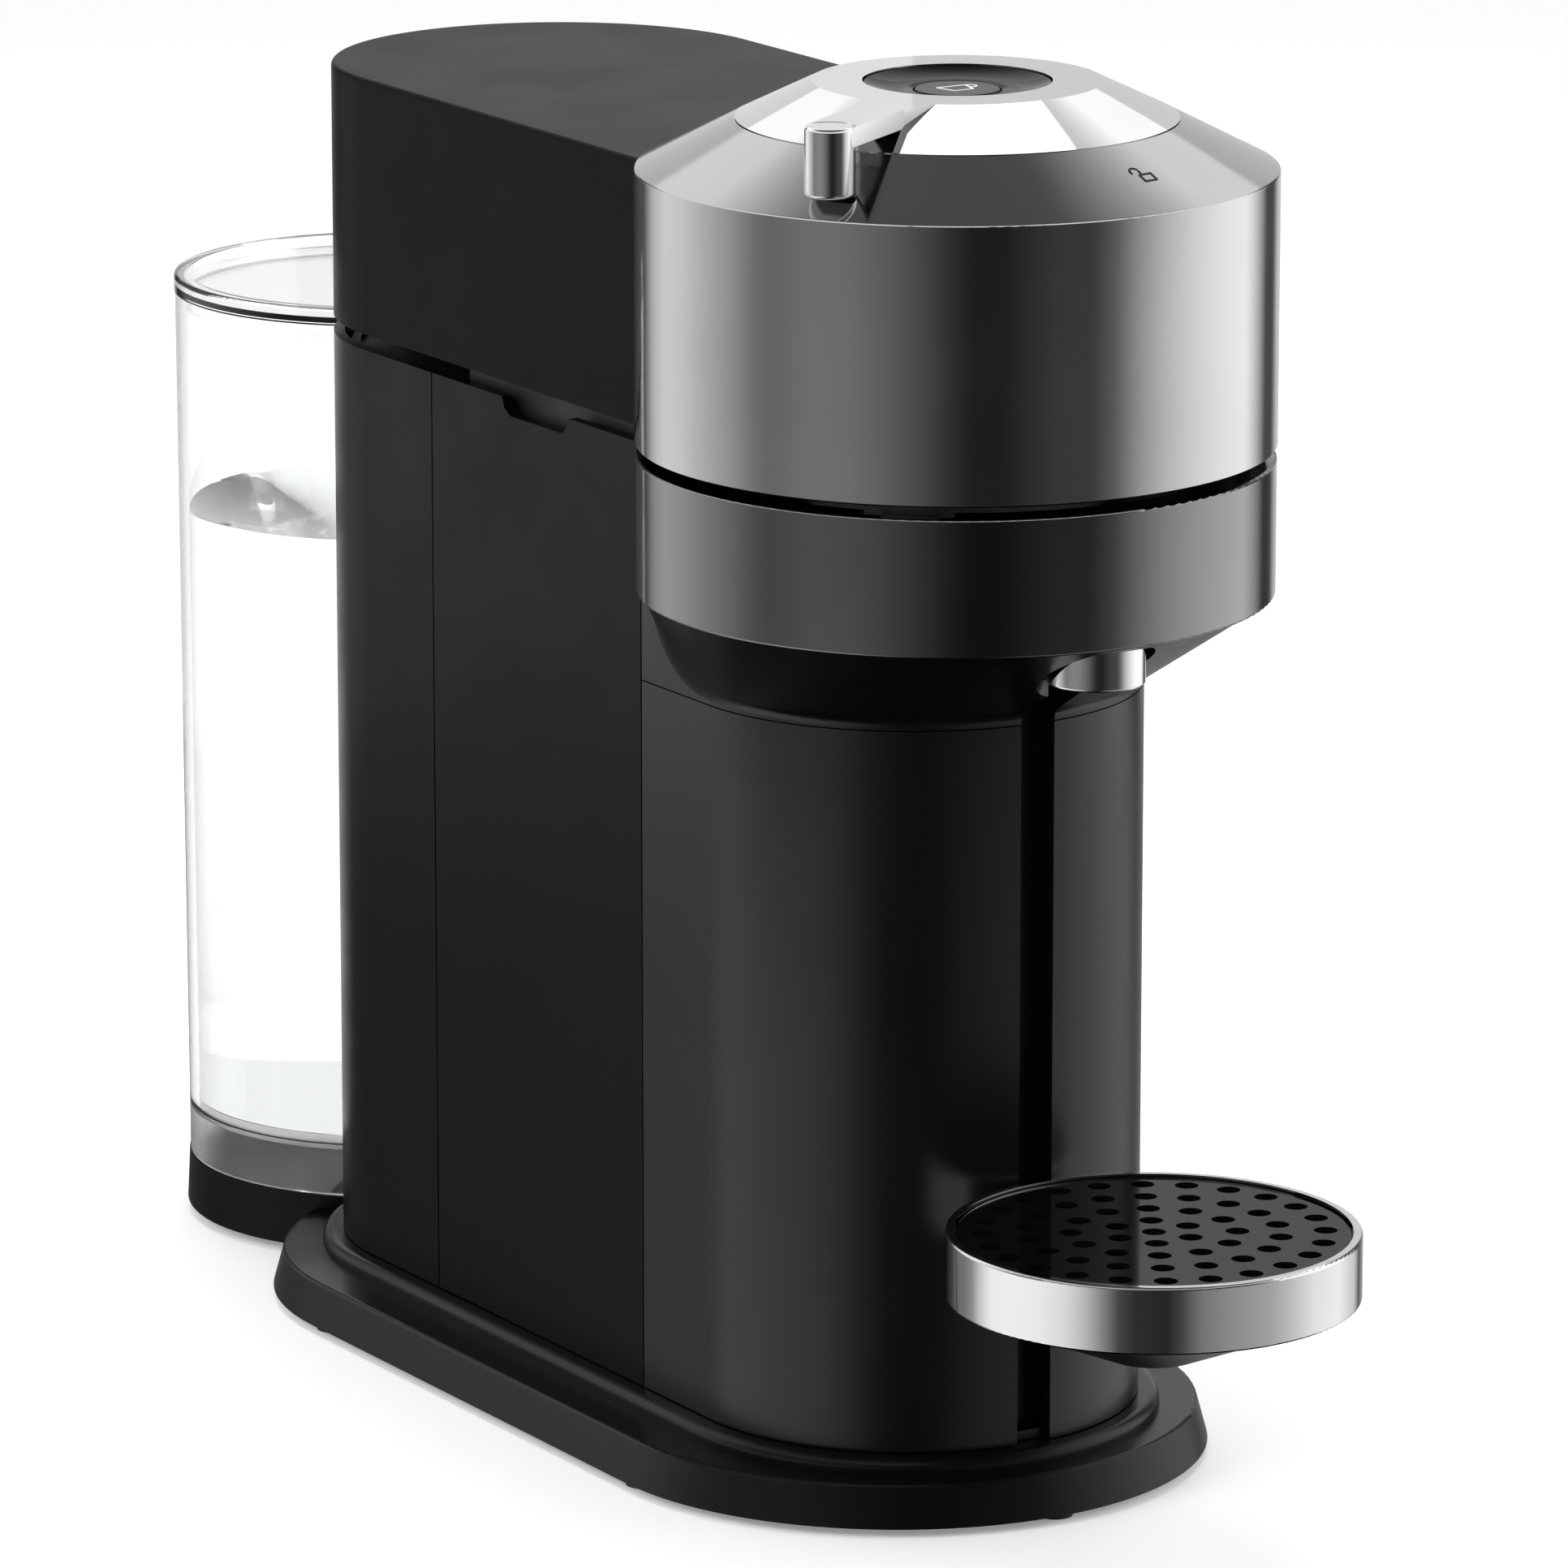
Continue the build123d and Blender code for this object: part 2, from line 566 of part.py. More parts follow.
def soften(shape, radius):
    """Rounds the two upright corners where the tank's hollow meets its round wall."""
    corners = [e for e in shape.edges() if abs(e.tangent_at(0.5).Z) > 0.99]
    return fillet(corners, radius)


tank_top_z = tank_lid_top_z - tank_lid_height
plug_radius = 6.0
valve_y = tank_port_y

tank = soften(tapered_crescent(0, tank_base_top_z, tank_top_z - 0.1), 4.0)
tank -= soften(tapered_crescent(tank_wall, tank_base_top_z - 1, tank_top_z + 1), 2.5)
save("water_tank", tank)

tank_base = soften(tapered_crescent(0, tank_bottom_z, tank_base_top_z), 4.0)
tank_base += soften(tapered_crescent(tank_wall + 0.05, tank_base_top_z, tank_base_top_z + 2.0), 2.5)
tank_base -= soften(tapered_crescent(tank_wall, tank_bottom_z - 1, tank_base_top_z - 1.5), 2.5)
tank_base += rod(0, valve_y, tank_bottom_z + 1.0, tank_base_top_z, plug_radius + 2)
tank_base -= rod(0, valve_y, tank_bottom_z, tank_base_top_z - 3.5, plug_radius)
tank_base -= rod(0, valve_y, 0, tank_base_top_z + 5, 3.4)
save("tank_base", tank_base)

valve_low, valve_head_z = pin_top_z + 0.1, tank_base_top_z + 5.2
valve = rod(0, valve_y, valve_low, valve_head_z, 3.4 - loose)
valve += rod(0, valve_y, valve_low, valve_low + 1.2, plug_radius - 0.8)
valve += rod(0, valve_y, valve_head_z, valve_head_z + 4, 6.0)
save("tank_valve", valve)
save("valve_spring", tube(0, valve_y, valve_low + 1.2, tank_base_top_z - 3.5, plug_radius - 0.4, 4.2))

lid_rim = 3.2
tank_lid = soften(tapered_crescent(-tank_lid_overhang, tank_top_z, tank_lid_top_z), 4.0)
tank_lid = fillet(tank_lid.edges().group_by(Axis.Z)[-1], 0.9)
tank_lid -= soften(tapered_crescent(lid_rim, tank_lid_top_z - 2.6, tank_lid_top_z + 1), 2.0)
plug = soften(tapered_crescent(tank_wall + loose, tank_top_z - 3.0, tank_top_z), 2.4)
plug -= soften(tapered_crescent(tank_wall + loose + 1.6, tank_top_z - 4, tank_top_z), 1.6)
save("tank_lid", tank_lid + plug)

# ======== slide-out column, capsule bin and cup support ========
column_fit = 0.6          # between the bin and the column's wall


def make_column():
    shell = casing_wall(casing_bottom_z, column_top_z)
    shell += prism(stadium(body_radius - 0.5), casing_bottom_z, casing_bottom_z + 2)
    shell += block(-channel_half - channel_wall, channel_half + channel_wall, column_front_y + 1.0,
                   channel_back_y + channel_wall, casing_bottom_z, column_top_z)
    shell &= block(-90, 90, -90, front_seam_y - seam / 2, 0, lid_top_z)
    shell &= prism(stadium(body_radius), 0, lid_top_z)
    shell -= block(-slot_width / 2, slot_width / 2, column_front_y - 1, column_front_y + wall + 0.1,
                   0, lid_top_z)
    return shell - block(-channel_half, channel_half, column_front_y + wall, channel_back_y,
                         casing_bottom_z + 2, lid_top_z)


def make_bin():
    floor = casing_bottom_z + 2
    outer_r = body_radius - wall - column_fit
    back = frame_front_y - 2
    front = channel_back_y + channel_wall + column_fit
    span = block(-90, 90, front, back, 0, lid_top_z)
    box = prism(stadium(outer_r), floor, bin_top_z) & span
    box &= block(-frame_radius + frame_wall, frame_radius - frame_wall, -90, 90, 0, lid_top_z)
    room = prism(stadium(outer_r - 1.8), floor + 1.8, bin_top_z + 1)
    room &= block(-frame_radius + frame_wall + 1.8, frame_radius - frame_wall - 1.8,
                  front + 1.8, back - 1.8, 0, lid_top_z)
    return box - room


save("column_shell", make_column())
save("capsule_bin", make_bin())

slider_fit = 0.35
grid_radius = tray_radius - tray_wall - 0.3
grid_top_z = tray_top_z - 0.7
grid_thickness = 1.8
grid_hole_radius = 2.6
grid_rings = ((37.0, 24), (27.4, 18), (18.0, 12), (8.8, 6))
basin_wall = 1.8


def make_tray_ring():
    ring = tube(0, tray_y, tray_bottom_z, tray_top_z, tray_radius, tray_radius - tray_wall)
    outer = ring.edges().filter_by(GeomType.CIRCLE).filter_by(lambda e: e.radius > tray_radius - 0.01)
    return fillet(outer, 0.7)


def make_basin():
    outer_r = tray_radius - tray_wall
    basin = rod(0, tray_y, tray_bottom_z + 0.6, grid_top_z - grid_thickness - 0.1, outer_r)
    basin -= rod(0, tray_y, tray_bottom_z + 2.6, tray_top_z, outer_r - basin_wall)
    return basin


def make_bracket():
    dish = Pos(0, tray_y, (keel_z + tray_bottom_z + 0.6) / 2) * Cone(
        keel_radius, tray_radius - tray_wall, tray_bottom_z + 0.6 - keel_z)
    dish = fillet(dish.edges().group_by(Axis.Z)[0], 1.5)
    half = slot_width / 2 - slider_fit
    neck = block(-half, half, tray_y, column_front_y + wall + slider_fit, keel_z + 5, tray_bottom_z)
    neck += block(-half, half, column_front_y - 1.2, column_front_y + wall + slider_fit,
                  keel_z + 5, tray_top_z - 3)
    head = block(-channel_half + slider_fit, channel_half - slider_fit,
                 column_front_y + wall + slider_fit, channel_back_y - slider_fit,
                 keel_z + 5, tray_top_z - 3)
    return dish + neck + head


def make_grid():
    grid = rod(0, tray_y, grid_top_z - grid_thickness, grid_top_z, grid_radius)
    grid = fillet(grid.edges().group_by(Axis.Z)[-1], 0.5)
    holes = [Pos(0, tray_y, grid_top_z) * Cylinder(grid_hole_radius, 8)]
    for radius, count in grid_rings:
        holes += [Pos(0, tray_y, grid_top_z) * loc * Cylinder(grid_hole_radius, 8)
                  for loc in PolarLocations(radius, count)]
    return grid - holes


save("tray_ring", make_tray_ring())
save("drip_tray", make_basin())
save("support_bracket", make_bracket())
save("drip_grid", make_grid())

# ======== lid ========
lid_wall_gap = 0.25
plate_z = lid_bottom_z + 2.2
plate_thickness = 2.5
deck_top_z = cone_top_z - 2.6
hub_inner = dish_radius + 0.4
hub_outer = hub_inner + hub_wall
pillar_outer = dish_radius - 2.6


def make_lid_shell():
    shell = prism(stadium(body_radius), lid_bottom_z, lid_top_z)
    shell = fillet(shell.edges().group_by(Axis.Z)[-1], 1.2)
    shell -= prism(stadium(body_radius - wall), lid_bottom_z - 1, lid_top_z - wall)
    return shell - rod(0, 0, 0, 400, head_radius + lid_wall_gap)


def make_head_shell():
    inner = head_radius - metal
    deck_low = deck_top_z - 2.4
    lip = cone_radius - 1.0
    shell = turned([
        (inner, head_bottom_z), (head_radius - 0.4, head_bottom_z), (head_radius, head_bottom_z + 0.4),
        (head_radius, rim_z),
        (cone_radius, cone_top_z), (lip, cone_top_z), (lip, deck_top_z), (hub_outer + 0.4, deck_top_z),
        (hub_outer + 0.4, deck_low), (lip - 2, deck_low), (inner, rim_z - 2)])
    shell = fillet([e for e in shell.edges() if abs(e.center().Z - rim_z) < 0.1 and e.radius > inner], 0.5)
    rear_room = body_radius - wall
    return shell - block(-rear_room, rear_room, 40, head_radius + 5, 0, lid_top_z - wall - 3)


def make_lid_frame():
    low, high = plate_z, plate_z + plate_thickness
    reach = hinge_y - 7
    plate = prism(stadium(body_radius - wall), low, high)
    plate &= block(-90, 90, -90, reach, 0, lid_top_z)
    disc = rod(0, 0, low, high, head_radius - metal)
    plate += disc - block(-90, 90, front_seam_y - 4, 90, 0, lid_top_z)
    for angle in catch_leg_angles:
        start, end = angle - catch_leg_span, angle + lever_travel + catch_leg_span
        slot = sector(start, end, leg_inner - 1.2, leg_outer + 1.2, low - 1, high + 1)
        plate -= slot
    plate += tube(0, 0, high - 0.5, deck_top_z - 3, pillar_outer, pillar_outer - 2)
    plate += tube(0, 0, high, high + 8, 9, brew_shaft_radius + running)
    plate -= rod(0, 0, 0, high + 9, brew_shaft_radius + running)
    plate -= block(-hose_hole, hose_hole, 5, pillar_outer + 3, pipe_z - hose_hole, pipe_z + hose_hole)
    arm = block(-arm_half_width, arm_half_width, hinge_y - knuckle_radius, hinge_y + knuckle_radius,
                hinge_z, high)
    arm += block(-arm_half_width, arm_half_width, reach - 12, hinge_y + knuckle_radius, low, high)
    eye = Pos(0, hinge_y, hinge_z) * Rot(0, 90, 0) * Cylinder(knuckle_radius, 2 * arm_half_width)
    plate += arm + eye
    plate -= Pos(0, hinge_y, hinge_z) * Rot(0, 90, 0) * Cylinder(hinge_pin_radius + running, 60)
    for side in (-1, 1):
        plate += block(side * 38 - 1, side * 38 + 1, head_radius + 3, reach - 20, high, high + 16)
    return plate


brew_radius = chamber_radius - 1.0
needle_radius = 1.2


def make_brew_head():
    low = holder_top_z + 1.5
    head = rod(0, 0, low, plate_z - 0.6, brew_radius)
    head += rod(0, 0, plate_z - 0.7, plate_z + plate_thickness + 9, brew_shaft_radius)
    head += rod(0, 0, low - 4, low, needle_radius)
    for k in range(12):
        x, y = 24 * cos(radians(30 * k)), 24 * sin(radians(30 * k))
        head += rod(x, y, low - 2.5, low, 0.9)
    return head


save("lid_shell", make_lid_shell())
save("head_shell", make_head_shell())
save("lid_frame", make_lid_frame())
save("brew_head", make_brew_head())
save("head_seal", tube(0, 0, plate_z - 1.6, plate_z, head_radius - metal - 3.4, head_radius - metal - 5.4))
lid_pipe = hose([(0, hinge_y - 12, plate_z + 6), (0, hinge_y - 60, plate_z + 6),
                 (0, hinge_y - 80, pipe_z), (0, 7, pipe_z)], hose_radius, 12.0)
save("lid_water_pipe", lid_pipe)

# ======== lever ========


def make_lever_ring():
    low = deck_top_z + loose
    edge = cone_radius - 0.3
    ring = turned([
        (edge, cone_top_z + 0.2), (flat_radius, head_top_z), (hub_inner, head_top_z), (hub_inner, spider_z + 4),
        (hub_outer, spider_z + 4), (hub_outer, head_top_z - 2.2), (flat_radius - 0.7, head_top_z - 2.2),
        (edge - 2.6, cone_top_z - 0.4), (edge - 2.6, low), (edge - 1.0, low), (edge - 1.0, cone_top_z + 0.2)])
    arm = block(flat_radius - 6, lever_reach, -handle_radius, handle_radius, head_top_z - 4.2, head_top_z)
    arm += prism(make_face(Polyline((flat_radius - 5, -10.5), (flat_radius + 7, -handle_radius),
                                    (flat_radius + 7, handle_radius), (flat_radius - 5, 10.5),
                                    close=True)), head_top_z - 4.2, head_top_z)
    arm = Rot(0, 0, lever_angle) * arm
    ring += arm - rod(0, 0, 0, 400, hub_outer)
    return ring - rod(lever_x, lever_y, 0, 400, handle_radius)


lever_x = lever_reach * cos(radians(lever_angle))
lever_y = lever_reach * sin(radians(lever_angle))


def make_handle():
    handle = rod(lever_x, lever_y, handle_bottom_z, head_top_z, handle_radius)
    handle = fillet(handle.edges().filter_by(GeomType.CIRCLE), 0.9)
    rise = 0.9
    clear = turned([(0, rim_z - 20), (head_radius + 6, rim_z - 20),
                    (head_radius + 6, rim_z + rise - 6 * cone_slope),
                    (cone_radius - 10, cone_top_z + rise + 10 * cone_slope), (0, cone_top_z + rise)])
    return handle - clear


def make_lock_spider():
    spider = tube(0, 0, spider_z, spider_z + 4, hub_outer + 3, pillar_outer + running)
    for angle in catch_leg_angles:
        half = catch_leg_span / 2
        arm = block(hub_outer, leg_inner + 1, -4, 4, spider_z, spider_z + 4)
        spider += Rot(0, 0, angle) * arm
        spider += sector(angle - half, angle + half, leg_inner, leg_outer, ring_top_z - 6, spider_z + 4)
        spider += sector(angle - half, angle + half, leg_inner, ring_radius - metal - 3,
                         ring_top_z - 6, ring_top_z - 3)
    return spider


save("lever_ring", make_lever_ring())
save("lever_handle", make_handle())
save("lock_spider", make_lock_spider())

# ======== button ========
board_z = deck_top_z - 3
switch_stack = 5.5


def make_surround():
    rim = dish_radius
    top = head_top_z - 0.4
    bowl = make_face(Plane.XZ * (
        Polyline((button_radius + loose, button_top_z - 0.3), (button_radius + loose, board_z + 1.6),
                 (rim - 3.0, board_z + 1.6), (rim - 3.0, deck_top_z), (rim, deck_top_z), (rim, top))
        + ThreePointArc((rim, top), ((rim + button_radius) / 2 + 1, button_top_z + 0.05),
                        (button_radius + loose, button_top_z - 0.3))))
    return revolve(bowl, Axis.Z)


save("button_surround", make_surround())
cap = rod(0, 0, button_top_z - 2.6, button_top_z, button_radius)
cap = fillet(cap.edges().group_by(Axis.Z)[-1], 0.5)
cap += rod(0, 0, board_z + 1.6 + switch_stack - 2.2, button_top_z - 2.5, 3.0)
save("button_cap", cap)
switch_board = rod(0, 0, board_z, board_z + 1.6, pillar_outer - 0.2)
switch_board += block(-2.5, 2.5, -2.5, 2.5, board_z + 1.6, board_z + 1.6 + switch_stack - 3.5)
save("switch_board", switch_board)
save("button_spring", tube(0, 0, board_z + 1.6, button_top_z - 2.6, 5.2, 4.2))

os.makedirs("parts", exist_ok=True)
for name, shape in nodes.items():
    export_step(shape, f"parts/{name}.step")
print(len(nodes), "nodes; middle_y", round(middle_y, 3))
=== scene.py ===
"""Looks of the pod coffee machine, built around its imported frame."""

import math

import bmesh
import bpy
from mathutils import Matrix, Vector


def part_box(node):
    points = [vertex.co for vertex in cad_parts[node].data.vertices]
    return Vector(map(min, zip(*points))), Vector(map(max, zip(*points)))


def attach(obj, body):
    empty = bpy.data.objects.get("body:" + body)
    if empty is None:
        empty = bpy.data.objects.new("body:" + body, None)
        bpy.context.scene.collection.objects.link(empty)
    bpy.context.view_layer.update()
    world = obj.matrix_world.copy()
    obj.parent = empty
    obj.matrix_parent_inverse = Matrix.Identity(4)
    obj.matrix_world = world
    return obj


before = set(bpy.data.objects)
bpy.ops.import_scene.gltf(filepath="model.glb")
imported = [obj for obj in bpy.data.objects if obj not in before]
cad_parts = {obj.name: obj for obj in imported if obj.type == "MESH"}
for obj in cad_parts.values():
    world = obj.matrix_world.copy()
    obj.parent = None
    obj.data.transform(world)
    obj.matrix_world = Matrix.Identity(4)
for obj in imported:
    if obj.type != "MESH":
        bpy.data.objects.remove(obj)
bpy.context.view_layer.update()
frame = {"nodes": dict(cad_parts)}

bl_info = {
    "name": "Pod coffee machine",
    "version": (1, 0, 0),
    "blender": (4, 5, 0),
    "location": "3D View > Sidebar > Coffee Machine",
    "description": "Finishes, fine detail, water and studio for a pod coffee machine",
    "category": "Object",
}

MM = 0.001

# Places read from the frame, in metres.
HEAD_LOW, HEAD_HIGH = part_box("head_shell")
HEAD_Y = (HEAD_LOW[1] + HEAD_HIGH[1]) / 2
TANK_LOW, TANK_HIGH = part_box("water_tank")
TANK_BASE_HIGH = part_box("tank_base")[1]
CAP_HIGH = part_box("button_cap")[1]
SHELL_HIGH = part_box("lid_shell")[1]
BODY_RADIUS = SHELL_HIGH[0]
TANK_Y = TANK_HIGH[1] - TANK_HIGH[0]
REAR_Y = SHELL_HIGH[1] - BODY_RADIUS
HEAD_RADIUS = HEAD_HIGH[0]
# The dark cone of the head runs from the rim up to the lever ring.
CONE_RISE = 11.0 * MM
CONE_RUN = 21.5 * MM
RIM_Z = HEAD_HIGH[2] - CONE_RISE
# The water's edge creeps up the tank's wall by this much, over this width.
CREEP_HEIGHT = 0.7 * MM
CREEP_WIDTH = 1.6 * MM
# Thickness of the printed ink, and how far it stands off the surface under it.
INK = 0.06 * MM
INK_LIFT = 0.01 * MM


class MachineSizes(bpy.types.PropertyGroup):
    """Sizes of the pieces that this script adds"""

    water_level: bpy.props.FloatProperty(
        name="Water level", description="Height of the water's surface above the table",
        default=0.1755, min=0.04, max=0.22, unit="LENGTH")
    tank_wall: bpy.props.FloatProperty(
        name="Tank wall", description="Thickness of the tank's wall", default=2.2 * MM, unit="LENGTH")
    water_gap: bpy.props.FloatProperty(
        name="Water gap", description="Air left between the water and the tank's wall",
        default=0.25 * MM, unit="LENGTH")
    nest_gap: bpy.props.FloatProperty(
        name="Nest gap", description="Gap between the casing's round end and the tank",
        default=1.5 * MM, unit="LENGTH")
    icon_line: bpy.props.FloatProperty(
        name="Icon line", description="Line width of the printed icons", default=0.5 * MM, unit="LENGTH")
    lock_icon_radius: bpy.props.FloatProperty(
        name="Lock icon distance", description="Distance of the lock icon from the head's axis",
        default=59.0 * MM, unit="LENGTH")
    lock_icon_angle: bpy.props.FloatProperty(
        name="Lock icon angle", description="Turn of the lock icon from the front towards the right",
        default=math.radians(10.5), subtype="ANGLE")


class MachineColours(bpy.types.PropertyGroup):
    """Base colours of the finishes, as sRGB hex values"""

    body: bpy.props.StringProperty(
        name="Casing", description="Satin black moulded ABS of the casing", default="070708")
    frame: bpy.props.StringProperty(
        name="Inner frame", description="Plain black nylon of the inner parts", default="101012")
    piano: bpy.props.StringProperty(
        name="Piano black", description="Polished black ABS of the button and the grid", default="0A0A0B")
    dark_metal: bpy.props.StringProperty(
        name="Dark chrome", description="Tinted chrome of the head", default="CDCDCF")
    ring_metal: bpy.props.StringProperty(
        name="Ring chrome", description="Deeper tinted chrome of the fixed ring", default="8D8D90")
    bright_metal: bpy.props.StringProperty(
        name="Bright chrome", description="Clear chrome of the lever, spout and tray ring", default="F2F2F3")
    print_ink: bpy.props.StringProperty(
        name="Icon ink", description="Pad-printed cup icon", default="EDEDEF")
    dark_ink: bpy.props.StringProperty(
        name="Dark ink", description="Pad-printed lock icon", default="121213")


def hex_colour(text):
    """Linear RGBA of an sRGB hex value."""
    parts = [int(text[i:i + 2], 16) / 255 for i in (0, 2, 4)]
    return [c / 12.92 if c <= 0.04045 else ((c + 0.055) / 1.055) ** 2.4 for c in parts] + [1.0]


# ---- materials ----

def add_node(tree, kind, settings=None, inputs=None):
    """Adds a node, sets its properties and its inputs, and links inputs that are given as sockets."""
    node = tree.nodes.new(kind)
    for key, value in (settings or {}).items():
        setattr(node, key, value)
    for key, value in (inputs or {}).items():
        if isinstance(value, bpy.types.NodeSocket):
            tree.links.new(value, node.inputs[key])
        else:
            node.inputs[key].default_value = value
    return node


def start_material(name):
    """A new material with only its shader and output, and a Texture Coordinate node."""
    material = bpy.data.materials.new(name)
    material.use_nodes = True
    tree = material.node_tree
    tree.nodes.clear()
    shader = add_node(tree, "ShaderNodeBsdfPrincipled")
    out = add_node(tree, "ShaderNodeOutputMaterial")
    tree.links.new(shader.outputs["BSDF"], out.inputs["Surface"])
    place = add_node(tree, "ShaderNodeTexCoord")
    return material, tree, shader, place.outputs["Object"]


def grain_bump(tree, shader, place, grain_mm, height_mm, strength):
    """Fine moulding texture: a noise as wide as the grain drives a bump of its real height."""
    noise = add_node(tree, "ShaderNodeTexNoise", {}, {
        "Vector": place, "Scale": 1000 / grain_mm, "Detail": 3.0, "Roughness": 0.6})
    bump = add_node(tree, "ShaderNodeBump", {}, {
        "Height": noise.outputs["Fac"], "Strength": strength, "Distance": height_mm * MM})
    tree.links.new(bump.outputs["Normal"], shader.inputs["Normal"])
    return noise


def vary(tree, place, size_mm, low, high):
    """A slow change between two values over patches of the given size, for roughness."""
    cloud = add_node(tree, "ShaderNodeTexNoise", {}, {
        "Vector": place, "Scale": 1000 / size_mm, "Detail": 2.0, "Roughness": 0.5})
    spread = add_node(tree, "ShaderNodeMapRange", {}, {
        "Value": cloud.outputs["Fac"], "From Min": 0.3, "From Max": 0.7, "To Min": low, "To Max": high})
    return spread.outputs["Result"]


def make_casing_abs(colour, name="satin_black_abs", low=0.30, high=0.38, specular=0.5):
    """Moulded ABS with a fine spark-eroded grain: a broad soft highlight with a slight sparkle."""
    material, tree, shader, place = start_material(name)
    base = hex_colour(colour)
    shift = vary(tree, place, 60, 0.92, 1.08)
    tint = add_node(tree, "ShaderNodeVectorMath", {"operation": "SCALE"}, {0: base[:3], "Scale": shift})
    tree.links.new(tint.outputs["Vector"], shader.inputs["Base Color"])
    tree.links.new(vary(tree, place, 25, low, high), shader.inputs["Roughness"])
    shader.inputs["IOR"].default_value = 1.53
    # Where specular is set below 0.5 the reflections are dimmed below those of real ABS, as painted shade.
    shader.inputs["Specular IOR Level"].default_value = specular
    # The real grain is about 0.15 mm and would vanish at this distance, so it is drawn at 0.5 mm.
    grain_bump(tree, shader, place, 0.5, 0.02, 0.25)
    return material


def make_piano_black(colour):
    """Polished black ABS, sharp reflections with very faint wave from the mould."""
    material, tree, shader, place = start_material("polished_black_abs")
    shader.inputs["Base Color"].default_value = hex_colour(colour)
    tree.links.new(vary(tree, place, 12, 0.06, 0.11), shader.inputs["Roughness"])
    shader.inputs["IOR"].default_value = 1.53
    shader.inputs["Specular IOR Level"].default_value = 0.08
    grain_bump(tree, shader, place, 8.0, 0.02, 0.08)
    return material


def make_chrome(name, colour, low, high, wave, cone_z=1.0, cone_painted_shade=1.0):
    """Vacuum-metallised ABS: mirror-like, with a slow wave in the plastic under the metal.
    Above cone_z the tint is darker by a given factor: painted shade that stands in for the darker
    reflections of the head's cone."""
    material, tree, shader, place = start_material(name)
    base = hex_colour(colour)
    shift = vary(tree, place, 40, 0.97, 1.03)
    height = add_node(tree, "ShaderNodeSeparateXYZ", {}, {"Vector": place})
    # Painted shade: above cone_z the tint is darkened, in place of the darker reflections on the head's
    # cone.
    painted_cone_shade = add_node(tree, "ShaderNodeMapRange", {}, {
        "Value": height.outputs["Z"], "From Min": cone_z - 0.1 * MM, "From Max": cone_z + 0.1 * MM,
        "To Min": 1.0, "To Max": cone_painted_shade})
    both = add_node(tree, "ShaderNodeMath", {"operation": "MULTIPLY"}, {
        0: shift, 1: painted_cone_shade.outputs["Result"]})
    tint = add_node(tree, "ShaderNodeVectorMath", {"operation": "SCALE"}, {
        0: base[:3], "Scale": both.outputs["Value"]})
    tree.links.new(tint.outputs["Vector"], shader.inputs["Base Color"])
    shader.inputs["Metallic"].default_value = 1.0
    tree.links.new(vary(tree, place, 18, low, high), shader.inputs["Roughness"])
    grain_bump(tree, shader, place, 14.0, 0.02, wave)
    return material


def make_clear_plastic(name, colour, roughness):
    """Injection-moulded SAN or copolyester, clear with a faint flow wave."""
    material, tree, shader, place = start_material(name)
    shader.inputs["Base Color"].default_value = hex_colour(colour)
    shader.inputs["Transmission Weight"].default_value = 1.0
    shader.inputs["IOR"].default_value = 1.57
    tree.links.new(vary(tree, place, 30, roughness * 0.6, roughness * 1.4), shader.inputs["Roughness"])
    grain_bump(tree, shader, place, 16.0, 0.02, 0.05)
    return material


def make_water():
    """Tap water: clear, smooth, index 1.333."""
    material, tree, shader, place = start_material("water")
    shader.inputs["Base Color"].default_value = hex_colour("FAFBFB")
    shader.inputs["Transmission Weight"].default_value = 1.0
    shader.inputs["IOR"].default_value = 1.333
    tree.links.new(vary(tree, place, 30, 0.0, 0.01), shader.inputs["Roughness"])
    return material


def make_rubber(name, colour, low, high):
    """Moulded TPE or silicone: soft, wide highlight and a dusty grain."""
    material, tree, shader, place = start_material(name)
    base = hex_colour(colour)
    shift = vary(tree, place, 10, 0.85, 1.15)
    tint = add_node(tree, "ShaderNodeVectorMath", {"operation": "SCALE"}, {0: base[:3], "Scale": shift})
    tree.links.new(tint.outputs["Vector"], shader.inputs["Base Color"])
    tree.links.new(vary(tree, place, 6, low, high), shader.inputs["Roughness"])
    shader.inputs["IOR"].default_value = 1.5
    grain_bump(tree, shader, place, 0.8, 0.03, 0.3)
    return material


def make_metal(name, colour, low, high, grain_mm):
    """Plain machined or cast metal of the inner parts."""
    material, tree, shader, place = start_material(name)
    shader.inputs["Base Color"].default_value = hex_colour(colour)
    shader.inputs["Metallic"].default_value = 1.0
    tree.links.new(vary(tree, place, 8, low, high), shader.inputs["Roughness"])
    grain_bump(tree, shader, place, grain_mm, 0.03, 0.3)
    return material


def make_ink(name, colour):
    """Pad-printing ink: flat and a little rough."""
    material, tree, shader, place = start_material(name)
    shader.inputs["Base Color"].default_value = hex_colour(colour)
    tree.links.new(vary(tree, place, 2, 0.4, 0.55), shader.inputs["Roughness"])
    return material


